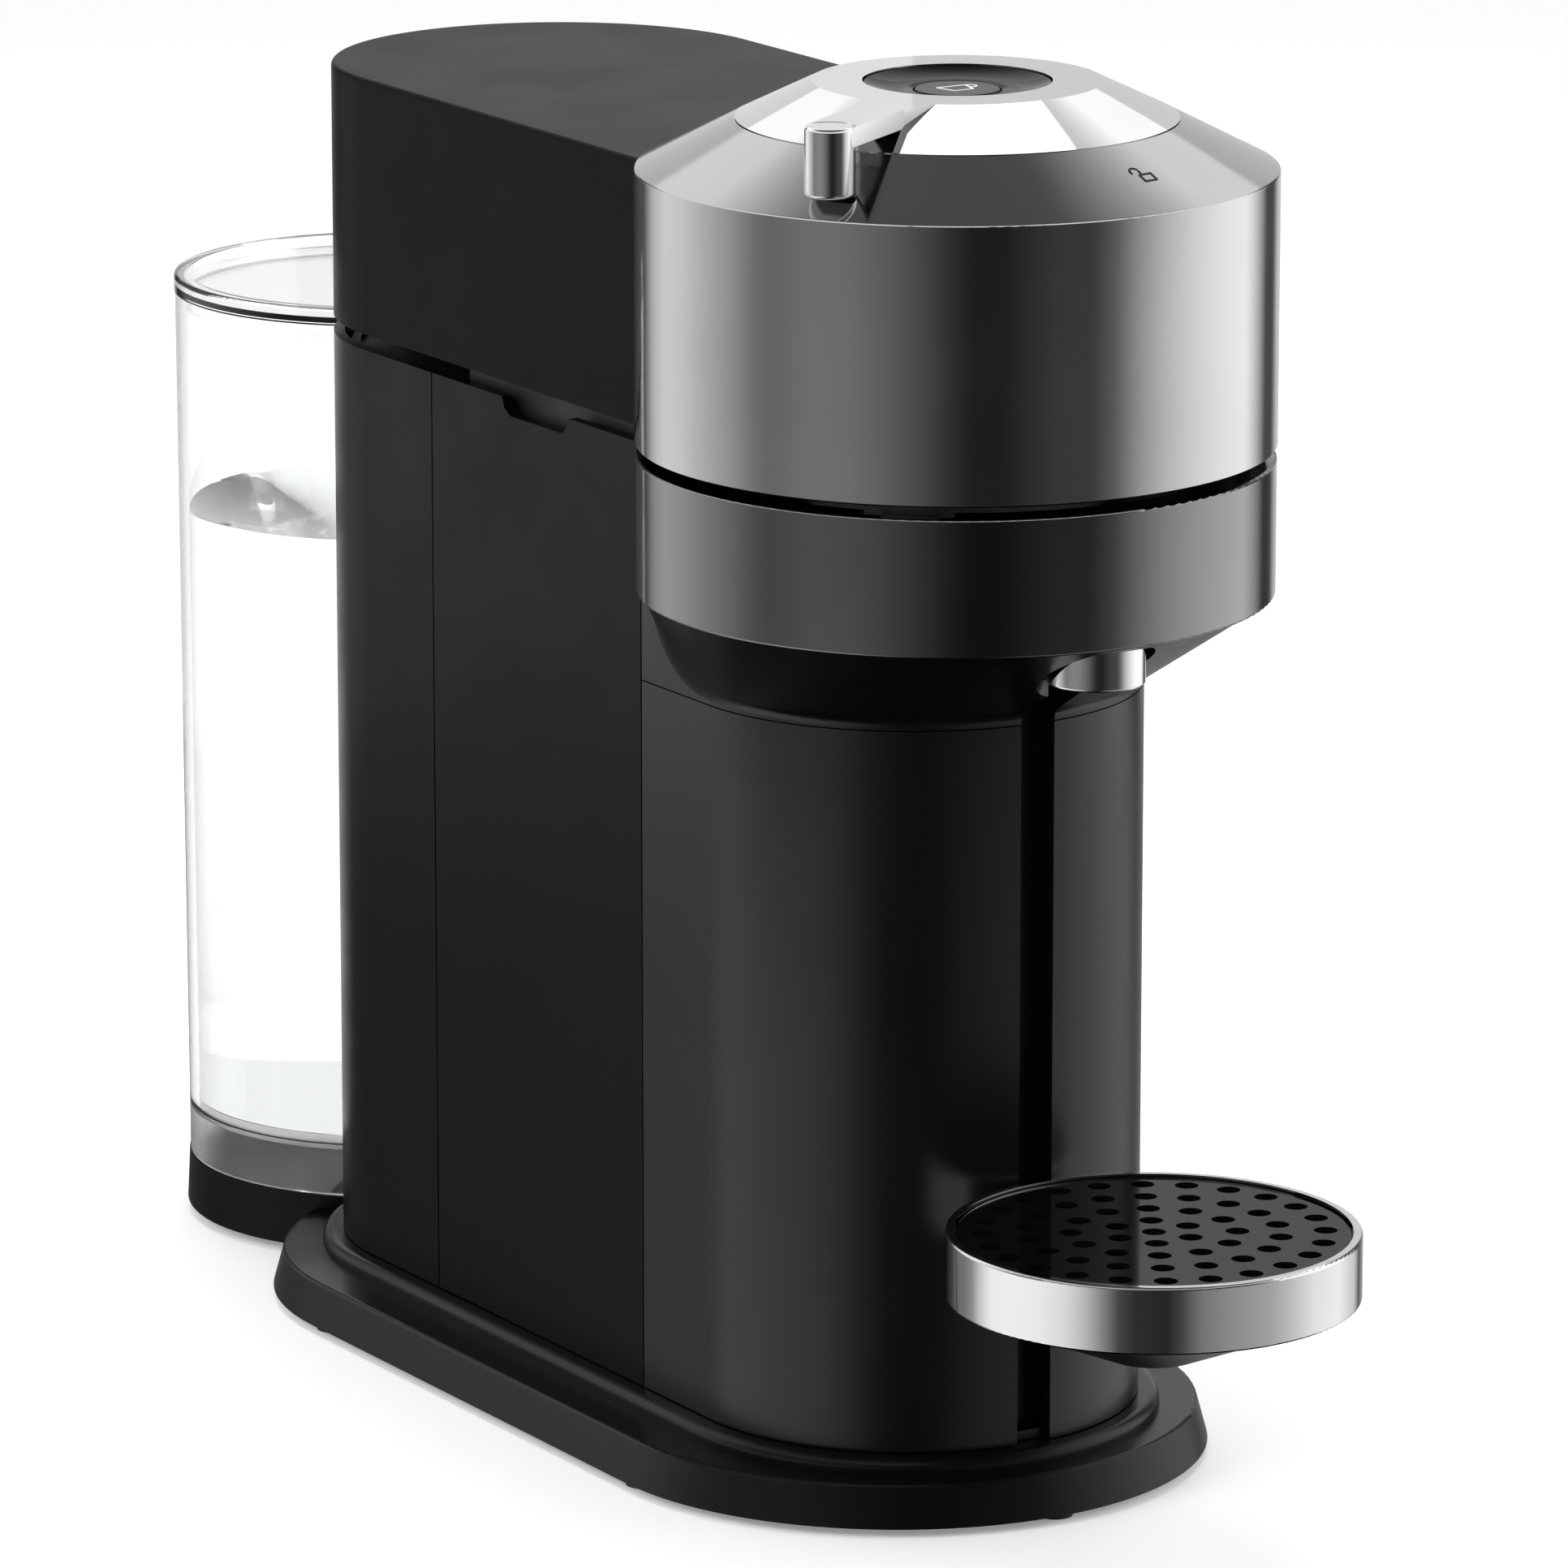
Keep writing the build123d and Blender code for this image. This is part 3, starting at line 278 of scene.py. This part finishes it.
# Which nodes each finish goes on.
FINISHES = {
    "casing": ("side_panel_left", "side_panel_right", "rear_casing", "tank_cradle"),
    "base": ("base_plate",),
    "lid": ("lid_shell",),
    "column": ("neck_cover", "column_shell"),
    "tray": ("drip_tray", "support_bracket"),
    "inner": ("inner_frame", "top_deck", "chamber_housing", "holder_pulley", "motor_pulley", "pump",
              "port_pin", "tank_valve", "capsule_bin", "lid_frame", "brew_head"),
    "polished": ("drip_grid", "button_surround", "button_cap"),
    "dark_chrome": ("head_shell",),
    "darker_chrome": ("lower_head_ring",),
    "bright_chrome": ("coffee_spout", "tray_ring", "lever_ring", "lever_handle"),
    "clear": ("water_tank", "tank_lid"),
    "smoky": ("tank_base",),
    "rubber": ("rubber_feet", "cord_gland", "drive_belt", "port_seal", "head_seal"),
    "silicone": ("suction_hose", "feed_hose", "riser_hose", "lid_water_pipe"),
    "steel": ("base_screws", "hinge_pin", "holder_bearing", "spin_motor", "motor_shaft",
              "valve_spring", "lock_spider", "button_spring"),
    "cast": ("thermoblock",),
    "light_plastic": ("capsule_holder", "flow_meter"),
    "laminate": ("control_board", "switch_board"),
}


def make_finishes(colours):
    """Every finish of the machine, by its key in FINISHES, and those of the added pieces."""
    return {
        # Painted shade: the casing, lid, base and column are one black ABS with different specular levels,
        # so the sides, lid and base reflect less and look darker than the column.
        "casing": make_casing_abs(colours.body, specular=0.10),
        "lid": make_casing_abs(colours.body, "satin_black_abs_lid", 0.32, 0.36, 0.04),
        "base": make_casing_abs(colours.body, "satin_black_abs_base", 0.26, 0.32, 0.30),
        "column": make_casing_abs(colours.body, "satin_black_abs_column", 0.24, 0.30, 0.45),
        "tray": make_casing_abs(colours.body, "satin_black_abs_tray", 0.26, 0.34),
        "inner": make_casing_abs(colours.frame, "black_nylon", 0.45, 0.6),
        "polished": make_piano_black(colours.piano),
        # The head's cone above the rim gets a tint darker by 0.85: painted shade for its darker reflections.
        "dark_chrome": make_chrome("tinted_chrome", colours.dark_metal, 0.09, 0.12, 0.02, RIM_Z, 0.85),
        "darker_chrome": make_chrome("tinted_chrome_ring", colours.ring_metal, 0.09, 0.12, 0.02),
        "bright_chrome": make_chrome("clear_chrome", colours.bright_metal, 0.03, 0.06, 0.02),
        "clear": make_clear_plastic("clear_san", "FCFDFD", 0.02),
        "smoky": make_clear_plastic("smoky_san", "DADADD", 0.12),
        "rubber": make_rubber("black_tpe", "161616", 0.55, 0.75),
        "silicone": make_rubber("translucent_silicone", "C9C9C2", 0.35, 0.5),
        "steel": make_metal("turned_steel", "B4B4B8", 0.22, 0.34, 0.6),
        "cast": make_metal("cast_aluminium", "C8C9CC", 0.35, 0.5, 1.2),
        "light_plastic": make_casing_abs("C8C7C2", "natural_nylon", 0.4, 0.5),
        "laminate": make_casing_abs("1D5A34", "coated_laminate", 0.3, 0.4),
        "water": make_water(),
        "ink": make_ink("pale_pad_print", colours.print_ink),
        "dark_ink": make_ink("black_pad_print", colours.dark_ink),
    }


# ---- modelling helpers ----

def clear_selection():
    """Nothing is selected and no object is being edited."""
    if bpy.context.object and bpy.context.object.mode != "OBJECT":
        bpy.ops.object.mode_set(mode="OBJECT")
    bpy.ops.object.select_all(action="DESELECT")


def pick_faces(piece, test):
    """In edit mode, selects just the faces whose centre passes the test."""
    bpy.ops.mesh.select_all(action="DESELECT")
    mesh = bmesh.from_edit_mesh(piece.data)
    for face in mesh.faces:
        face.select_set(test(face.calc_center_median()))
    mesh.select_flush_mode()
    bmesh.update_edit_mesh(piece.data)


def settle(piece, name, material, body):
    """Names a finished piece, puts its place into its mesh, and gives it its finish and body."""
    clear_selection()
    piece.select_set(True)
    bpy.context.view_layer.objects.active = piece
    bpy.ops.object.transform_apply(location=True, rotation=True, scale=True)
    piece.name = name
    piece.data.name = name
    piece.data.materials.clear()
    piece.data.materials.append(material)
    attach(piece, body)
    return piece


def apply_all(piece):
    """Applies every modifier of a piece."""
    bpy.context.view_layer.objects.active = piece
    for modifier in list(piece.modifiers):
        bpy.ops.object.modifier_apply(modifier=modifier.name)


def cut_away(piece, tool):
    """Takes the tool's shape out of the piece and deletes the tool."""
    cut = piece.modifiers.new("cut", "BOOLEAN")
    cut.operation = "DIFFERENCE"
    cut.object = tool
    apply_all(piece)
    bpy.data.objects.remove(tool)


# ---- pieces ----

class MACHINE_OT_finishes(bpy.types.Operator):
    """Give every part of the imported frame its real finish"""

    bl_idname = "machine.finishes"
    bl_label = "Finishes"

    def execute(self, context):
        finishes = make_finishes(context.scene.machine_colours)
        for key, names in FINISHES.items():
            for name in names:
                node = frame["nodes"][name]
                node.data.materials.clear()
                node.data.materials.append(finishes[key])
        return {"FINISHED"}


class MACHINE_OT_water(bpy.types.Operator):
    """Fill the tank with water up to its level"""

    bl_idname = "machine.water"
    bl_label = "Water"

    def execute(self, context):
        sizes = context.scene.machine_sizes
        low = TANK_BASE_HIGH[2] + 0.1 * MM
        high = sizes.water_level
        share = (high - TANK_LOW[2]) / (TANK_HIGH[2] - TANK_LOW[2])
        foot_radius = TANK_BASE_HIGH[0] - sizes.tank_wall - sizes.water_gap
        top_radius = foot_radius + (TANK_HIGH[0] - TANK_BASE_HIGH[0]) * share
        clear_selection()
        bpy.ops.mesh.primitive_cone_add(
            vertices=160, radius1=foot_radius, radius2=top_radius, depth=high - low,
            location=(0, TANK_Y, (low + high) / 2))
        water = context.object
        nest = BODY_RADIUS + sizes.nest_gap + sizes.tank_wall + sizes.water_gap
        bpy.ops.mesh.primitive_cylinder_add(
            vertices=160, radius=nest, depth=1.0, location=(0, REAR_Y, 0.1))
        cut_away(water, context.object)
        clear_selection()
        water.select_set(True)
        context.view_layer.objects.active = water
        bpy.ops.object.transform_apply(location=True)
        bpy.ops.object.mode_set(mode="EDIT")
        bpy.ops.mesh.select_mode(type="FACE")
        pick_faces(water, lambda centre: centre.z > high - 0.01 * MM)
        bpy.ops.mesh.inset(thickness=CREEP_WIDTH)
        bpy.ops.transform.translate(value=(0, 0, -CREEP_HEIGHT))
        bpy.ops.object.mode_set(mode="OBJECT")
        settle(water, "tank_water", bpy.data.materials["water"], "tank")
        bpy.ops.object.shade_smooth_by_angle(angle=math.radians(40))
        return {"FINISHED"}


def start_strip(name, width, height):
    """A thin flat bar lying at the origin with rounded corners, to be printed or placed."""
    clear_selection()
    bpy.ops.mesh.primitive_plane_add(size=1.0)
    strip = bpy.context.object
    strip.scale = (width, height, 1)
    bpy.ops.object.transform_apply(scale=True)
    bpy.ops.object.mode_set(mode="EDIT")
    bpy.ops.mesh.select_all(action="SELECT")
    bpy.ops.mesh.bevel(offset=min(width, height) * 0.22, segments=4, affect="VERTICES")
    bpy.ops.mesh.select_all(action="SELECT")
    bpy.ops.mesh.extrude_region_move(TRANSFORM_OT_translate={"value": (0, 0, INK)})
    bpy.ops.mesh.select_all(action="SELECT")
    bpy.ops.mesh.normals_make_consistent(inside=False)
    bpy.ops.object.mode_set(mode="OBJECT")
    strip.name = name
    return strip


def start_loop(name, radius, line, keep_above=None):
    """A flat line bent into a ring, or into an arch that keeps only what lies above a height."""
    clear_selection()
    bpy.ops.mesh.primitive_torus_add(
        major_radius=radius, minor_radius=line / 2, major_segments=40, minor_segments=8)
    loop = bpy.context.object
    loop.scale = (1, 1, 0.25)
    bpy.ops.object.transform_apply(scale=True)
    if keep_above is not None:
        bpy.ops.object.mode_set(mode="EDIT")
        bpy.ops.mesh.select_all(action="SELECT")
        bpy.ops.mesh.bisect(plane_co=(0, keep_above, 0), plane_no=(0, 1, 0), clear_inner=True,
                            use_fill=True)
        bpy.ops.object.mode_set(mode="OBJECT")
    loop.name = name
    return loop


def join(pieces):
    """Joins pieces into the first."""
    clear_selection()
    for piece in pieces:
        piece.select_set(True)
    bpy.context.view_layer.objects.active = pieces[0]
    bpy.ops.object.join()
    return pieces[0]


def start_frame(name, corners, line):
    """A flat outline through the corners, as wide as the line."""
    clear_selection()
    bpy.ops.mesh.primitive_circle_add(vertices=len(corners), radius=MM, fill_type="NGON")
    outline = bpy.context.object
    for vertex, (x, y) in zip(outline.data.vertices, corners):
        vertex.co = (x * MM, y * MM, 0)
    bpy.ops.object.mode_set(mode="EDIT")
    bpy.ops.mesh.select_all(action="SELECT")
    bpy.ops.mesh.bevel(offset=0.35 * MM, segments=4, affect="VERTICES")
    bpy.ops.mesh.select_all(action="SELECT")
    bpy.ops.mesh.inset(thickness=line)
    bpy.ops.mesh.delete(type="FACE")
    bpy.ops.mesh.select_all(action="SELECT")
    bpy.ops.mesh.extrude_region_move(TRANSFORM_OT_translate={"value": (0, 0, INK)})
    bpy.ops.mesh.select_all(action="SELECT")
    bpy.ops.mesh.normals_make_consistent(inside=False)
    bpy.ops.object.mode_set(mode="OBJECT")
    outline.name = name
    return outline


class MACHINE_OT_lock_icon(bpy.types.Operator):
    """Print an open padlock on the dark cone of the head, in front of the lever"""

    bl_idname = "machine.lock_icon"
    bl_label = "Lock icon"

    def execute(self, context):
        sizes = context.scene.machine_sizes
        line = sizes.icon_line
        case = start_frame("lock_icon", ((-1.9, -1.4), (1.9, -1.4), (1.9, 1.4), (-1.9, 1.4)), line)
        arch = start_loop("arch", 1.25 * MM, line, 0.0)
        arch.rotation_euler = (0, 0, math.radians(25))
        arch.location = (-1.9 * MM, 2.35 * MM, INK / 2)
        post = start_strip("post", line, 1.3 * MM)
        post.location = (-0.85 * MM, 2.0 * MM, 0)
        icon = join([case, arch, post])
        slope = math.atan2(CONE_RISE, CONE_RUN)
        radius, angle = sizes.lock_icon_radius, sizes.lock_icon_angle
        # The cone rises from the rim inwards, so the icon's height follows its distance.
        height = RIM_Z + (HEAD_RADIUS - radius) * math.tan(slope) + 0.04 * MM
        icon.rotation_euler = (slope, 0, angle)
        icon.location = (radius * math.sin(angle), HEAD_Y - radius * math.cos(angle), height)
        settle(icon, "lock_icon", bpy.data.materials["black_pad_print"], "lid")
        return {"FINISHED"}


class MACHINE_OT_cup_icon(bpy.types.Operator):
    """Print the outline of a small cup on the button"""

    bl_idname = "machine.cup_icon"
    bl_label = "Cup icon"

    def execute(self, context):
        line = context.scene.machine_sizes.icon_line
        bowl = start_frame("cup_icon", ((-2.6, -2.8), (2.6, -2.8), (4.0, 2.8), (-4.0, 2.8)), line)
        handle = start_loop("handle", 1.4 * MM, line, -0.7 * MM)
        handle.rotation_euler = (0, 0, math.radians(-90))
        handle.location = (3.9 * MM, 1.0 * MM, INK / 2)
        icon = join([bowl, handle])
        icon.location = (0, HEAD_Y, CAP_HIGH[2] + INK_LIFT)
        settle(icon, "cup_icon", bpy.data.materials["pale_pad_print"], "button")
        return {"FINISHED"}


# ---- studio ----

CAMERA_PLACE = Vector((-1.1607, -1.88625, 0.6812))
CAMERA_TURN = math.radians(31.849)
CAMERA_TILT = math.radians(13.758)
LENS = 230.4
SENSOR = 36.0

# Brightness of the two tiers of the reflector wall, by the angle to the right of the camera's side, in
# degrees. The head mirrors the upper tier, the column and the tray ring the lower one.
UPPER_BANDS = (
    (-180, 0.80), (-157, 0.65), (-149, 0.07), (-144, 0.10), (-134, 0.66), (-124, 0.92), (-112, 0.87),
    (-98, 0.64), (-86, 0.46), (-74, 0.24), (-67, 0.20), (-52, 0.25), (-38, 0.235), (-25, 0.17),
    (-13, 0.10), (-4, 0.045), (4, 0.018), (15, 0.017), (24, 0.036), (35, 0.058), (46, 0.060),
    (55, 0.16), (65, 0.45), (76, 0.74), (90, 1.02), (104, 1.20), (120, 1.30), (129, 0.72), (138, 0.08),
    (148, 0.08), (157, 0.65),
)
LOWER_BANDS = (
    (-180, 0.50), (-150, 0.12), (-126, 0.18), (-116, 0.28), (-106, 0.65), (-96, 0.92), (-80, 0.95),
    (-60, 0.90), (-45, 0.78), (-34, 0.55), (-24, 0.25), (-16, 0.07), (-8, 0.03), (8, 0.02), (15, 0.06),
    (25, 0.20), (40, 0.30), (60, 0.40), (75, 0.60), (90, 0.85), (112, 0.95), (135, 0.60), (145, 0.10),
    (160, 0.40),
)
# Brightness of the room by height, from just below the horizon up to straight overhead.
HORIZON_BELOW = 0.03
SKY_BANDS = ((0.0, 0.0), (0.02, 1.0), (0.65, 1.1), (0.89, 0.12), (1.0, 0.10))
# Height on the wall where the lower tier gives way to the upper one.
TIER_LOW, TIER_HIGH = -0.003, 0.012


# Sizes of the board and the reflector wall.
BOARD_SIZE = 60.0
WALL_RADIUS = 0.75
WALL_HEIGHT = 1.2
# Name, place, width in metres and watts of the soft lights, which are aimed at the machine's middle.
SOFTBOXES = (
    ("overhead_softbox", (0.1, 0.3, 1.7), 1.2, 16.0),
    ("left_softbox", (-1.5, -0.1, 1.0), 0.9, 12.0),
    ("right_softbox", (1.3, -1.2, 0.9), 0.9, 9.0),
)
# The lever's own light: how far it stands behind the head's axis and above its top, its width and watts.
LEVER_LIGHT_BACK = 0.42
LEVER_LIGHT_UP = 0.906
LEVER_LIGHT_SIZE = 0.6
LEVER_LIGHT_POWER = 1.3


class MACHINE_OT_stage(bpy.types.Operator):
    """Set the floor, the studio lights, the reflector wall and the camera"""

    bl_idname = "machine.stage"
    bl_label = "Studio"

    def execute(self, context):
        self.add_floor(context)
        self.add_wall(context)
        self.add_lights(context)
        self.add_camera(context)
        return {"FINISHED"}

    def set_stops(self, ramp, bands):
        """Gives a colour ramp one grey stop for each pair of position and level."""
        stops = ramp.color_ramp.elements
        while len(stops) < len(bands):
            stops.new(0.5)
        for stop, (position, level) in zip(stops, bands):
            stop.position = position
            stop.color = [level] * 3 + [1]

    def add_floor(self, context):
        """A large pale sheet under the machine."""
        clear_selection()
        bpy.ops.mesh.primitive_plane_add(size=BOARD_SIZE, location=(0, 0, 0))
        floor = context.object
        floor.name = "floor"
        material, tree, shader, place = start_material("matt_white_board")
        shader.inputs["Base Color"].default_value = hex_colour("F4F4F4")
        shader.inputs["Roughness"].default_value = 0.7
        shader.inputs["Specular IOR Level"].default_value = 0.3
        # The board is lit from below a little, as a light table is, which keeps it white to its edges.
        shader.inputs["Emission Color"].default_value = hex_colour("FFFFFF")
        shader.inputs["Emission Strength"].default_value = 0.22
        floor.data.materials.append(material)
        floor.visible_glossy = False

    def add_wall(self, context):
        """A round wall of light and dark cards, seen only in reflections."""
        clear_selection()
        bpy.ops.mesh.primitive_cylinder_add(
            vertices=180, radius=WALL_RADIUS, depth=WALL_HEIGHT, end_fill_type="NOTHING",
            location=(0, HEAD_Y, 0.0))
        bpy.ops.object.transform_apply(location=True)
        wall = context.object
        wall.name = "reflector_wall"
        material = bpy.data.materials.new("studio_cards")
        material.use_nodes = True
        tree = material.node_tree
        tree.nodes.clear()
        place = add_node(tree, "ShaderNodeTexCoord")
        centred = add_node(tree, "ShaderNodeMapping", {}, {
            "Vector": place.outputs["Object"], "Location": (0, -HEAD_Y, 0)})
        turned = add_node(tree, "ShaderNodeVectorRotate", {"rotation_type": "Z_AXIS"}, {
            "Vector": centred.outputs["Vector"], "Angle": math.radians(90) + CAMERA_TURN})
        parts = add_node(tree, "ShaderNodeSeparateXYZ", {}, {"Vector": turned.outputs["Vector"]})
        angle = add_node(tree, "ShaderNodeMath", {"operation": "ARCTAN2"}, {
            0: parts.outputs["Y"], 1: parts.outputs["X"]})
        share = add_node(tree, "ShaderNodeMapRange", {}, {
            "Value": angle.outputs["Value"], "From Min": -math.pi, "From Max": math.pi})
        brightest = max(level for _, level in UPPER_BANDS + LOWER_BANDS)
        tiers = []
        for bands in (LOWER_BANDS, UPPER_BANDS):
            ramp = add_node(tree, "ShaderNodeValToRGB", {}, {"Fac": share.outputs["Result"]})
            self.set_stops(ramp, [((degree + 180) / 360, level / brightest) for degree, level in bands])
            tiers.append(ramp.outputs["Color"])
        tier = add_node(tree, "ShaderNodeMapRange", {}, {
            "Value": parts.outputs["Z"], "From Min": TIER_LOW, "From Max": TIER_HIGH})
        mixed = add_node(tree, "ShaderNodeMix", {"data_type": "RGBA"}, {
            0: tier.outputs["Result"], 6: tiers[0], 7: tiers[1]})
        glow = add_node(tree, "ShaderNodeEmission", {}, {"Color": mixed.outputs[2], "Strength": brightest})
        out = add_node(tree, "ShaderNodeOutputMaterial")
        tree.links.new(glow.outputs["Emission"], out.inputs["Surface"])
        wall.data.materials.append(material)
        wall.visible_camera = False
        wall.visible_diffuse = False
        wall.visible_shadow = False
        wall.visible_transmission = False

    def add_lights(self, context):
        """A white room, the soft lights round the machine and the lever's own light."""
        world = bpy.data.worlds.new("white_room")
        world.use_nodes = True
        tree = world.node_tree
        place = add_node(tree, "ShaderNodeTexCoord")
        parts = add_node(tree, "ShaderNodeSeparateXYZ", {}, {"Vector": place.outputs["Generated"]})
        # A dark flag hangs overhead in a bright room, and reflections see nothing underfoot.
        raised = add_node(tree, "ShaderNodeMath", {"operation": "ADD"}, {
            0: parts.outputs["Z"], 1: HORIZON_BELOW})
        sky = add_node(tree, "ShaderNodeValToRGB", {}, {"Fac": raised.outputs["Value"]})
        self.set_stops(sky, SKY_BANDS)
        tree.links.new(sky.outputs["Color"], tree.nodes["Background"].inputs["Color"])
        context.scene.world = world
        context.scene.view_settings.view_transform = "Standard"
        aim = Vector((0, HEAD_Y + 0.1, 0.15))
        for name, place, size, power in SOFTBOXES:
            self.add_softbox(context, name, Vector(place), aim, size, power).visible_glossy = False

        # The gleam at the front of the lever's cone comes from a light that only the lever's chrome sees.
        receivers = bpy.data.collections.new("lever_light_receivers")
        receivers.objects.link(frame["nodes"]["lever_ring"])
        top = Vector((0, HEAD_Y, HEAD_HIGH[2]))
        away = Vector((math.sin(CAMERA_TURN), math.cos(CAMERA_TURN), 0))
        place = top + LEVER_LIGHT_BACK * away + Vector((0, 0, LEVER_LIGHT_UP))
        lamp = self.add_softbox(context, "lever_softbox", place, top, LEVER_LIGHT_SIZE, LEVER_LIGHT_POWER)
        lamp.light_linking.receiver_collection = receivers

    def add_softbox(self, context, name, place, aim, size, power):
        """A square soft light that the camera doesn't see, turned towards a point."""
        light = bpy.data.lights.new(name, "AREA")
        light.size = size
        light.energy = power
        lamp = bpy.data.objects.new(name, light)
        context.scene.collection.objects.link(lamp)
        lamp.location = place
        lamp.rotation_euler = (place - aim).to_track_quat("Z", "Y").to_euler()
        lamp.visible_camera = False
        return lamp

    def add_camera(self, context):
        """The camera, a long lens a little over two metres away."""
        data = bpy.data.cameras.new("studio_camera")
        data.lens = LENS
        data.sensor_width = SENSOR
        camera = bpy.data.objects.new("studio_camera", data)
        context.scene.collection.objects.link(camera)
        ahead = Vector((math.sin(CAMERA_TURN) * math.cos(CAMERA_TILT),
                        math.cos(CAMERA_TURN) * math.cos(CAMERA_TILT), -math.sin(CAMERA_TILT)))
        camera.location = CAMERA_PLACE
        camera.rotation_euler = ahead.to_track_quat("-Z", "Y").to_euler()
        context.scene.camera = camera


# ---- panel and registration ----

OPERATORS = (MACHINE_OT_finishes, MACHINE_OT_water, MACHINE_OT_lock_icon, MACHINE_OT_cup_icon,
             MACHINE_OT_stage)


class MACHINE_PT_panel(bpy.types.Panel):
    """Lists the machine's pieces, sizes and colours"""

    bl_idname = "MACHINE_PT_panel"
    bl_label = "Coffee Machine"
    bl_space_type = "VIEW_3D"
    bl_region_type = "UI"
    bl_category = "Coffee Machine"

    def draw(self, context):
        for operator in OPERATORS:
            self.layout.operator(operator.bl_idname)
        for group in (context.scene.machine_sizes, context.scene.machine_colours):
            for name in group.__annotations__:
                self.layout.prop(group, name)


CLASSES = (MachineSizes, MachineColours, *OPERATORS, MACHINE_PT_panel)


def register():
    for item in CLASSES:
        bpy.utils.register_class(item)
    bpy.types.Scene.machine_sizes = bpy.props.PointerProperty(type=MachineSizes)
    bpy.types.Scene.machine_colours = bpy.props.PointerProperty(type=MachineColours)


def unregister():
    del bpy.types.Scene.machine_sizes
    del bpy.types.Scene.machine_colours
    for item in reversed(CLASSES):
        bpy.utils.unregister_class(item)


def main():
    register()
    for operator in OPERATORS:
        group, action = operator.bl_idname.split(".")
        getattr(getattr(bpy.ops, group), action)()


if __name__ == "__main__":
    main()
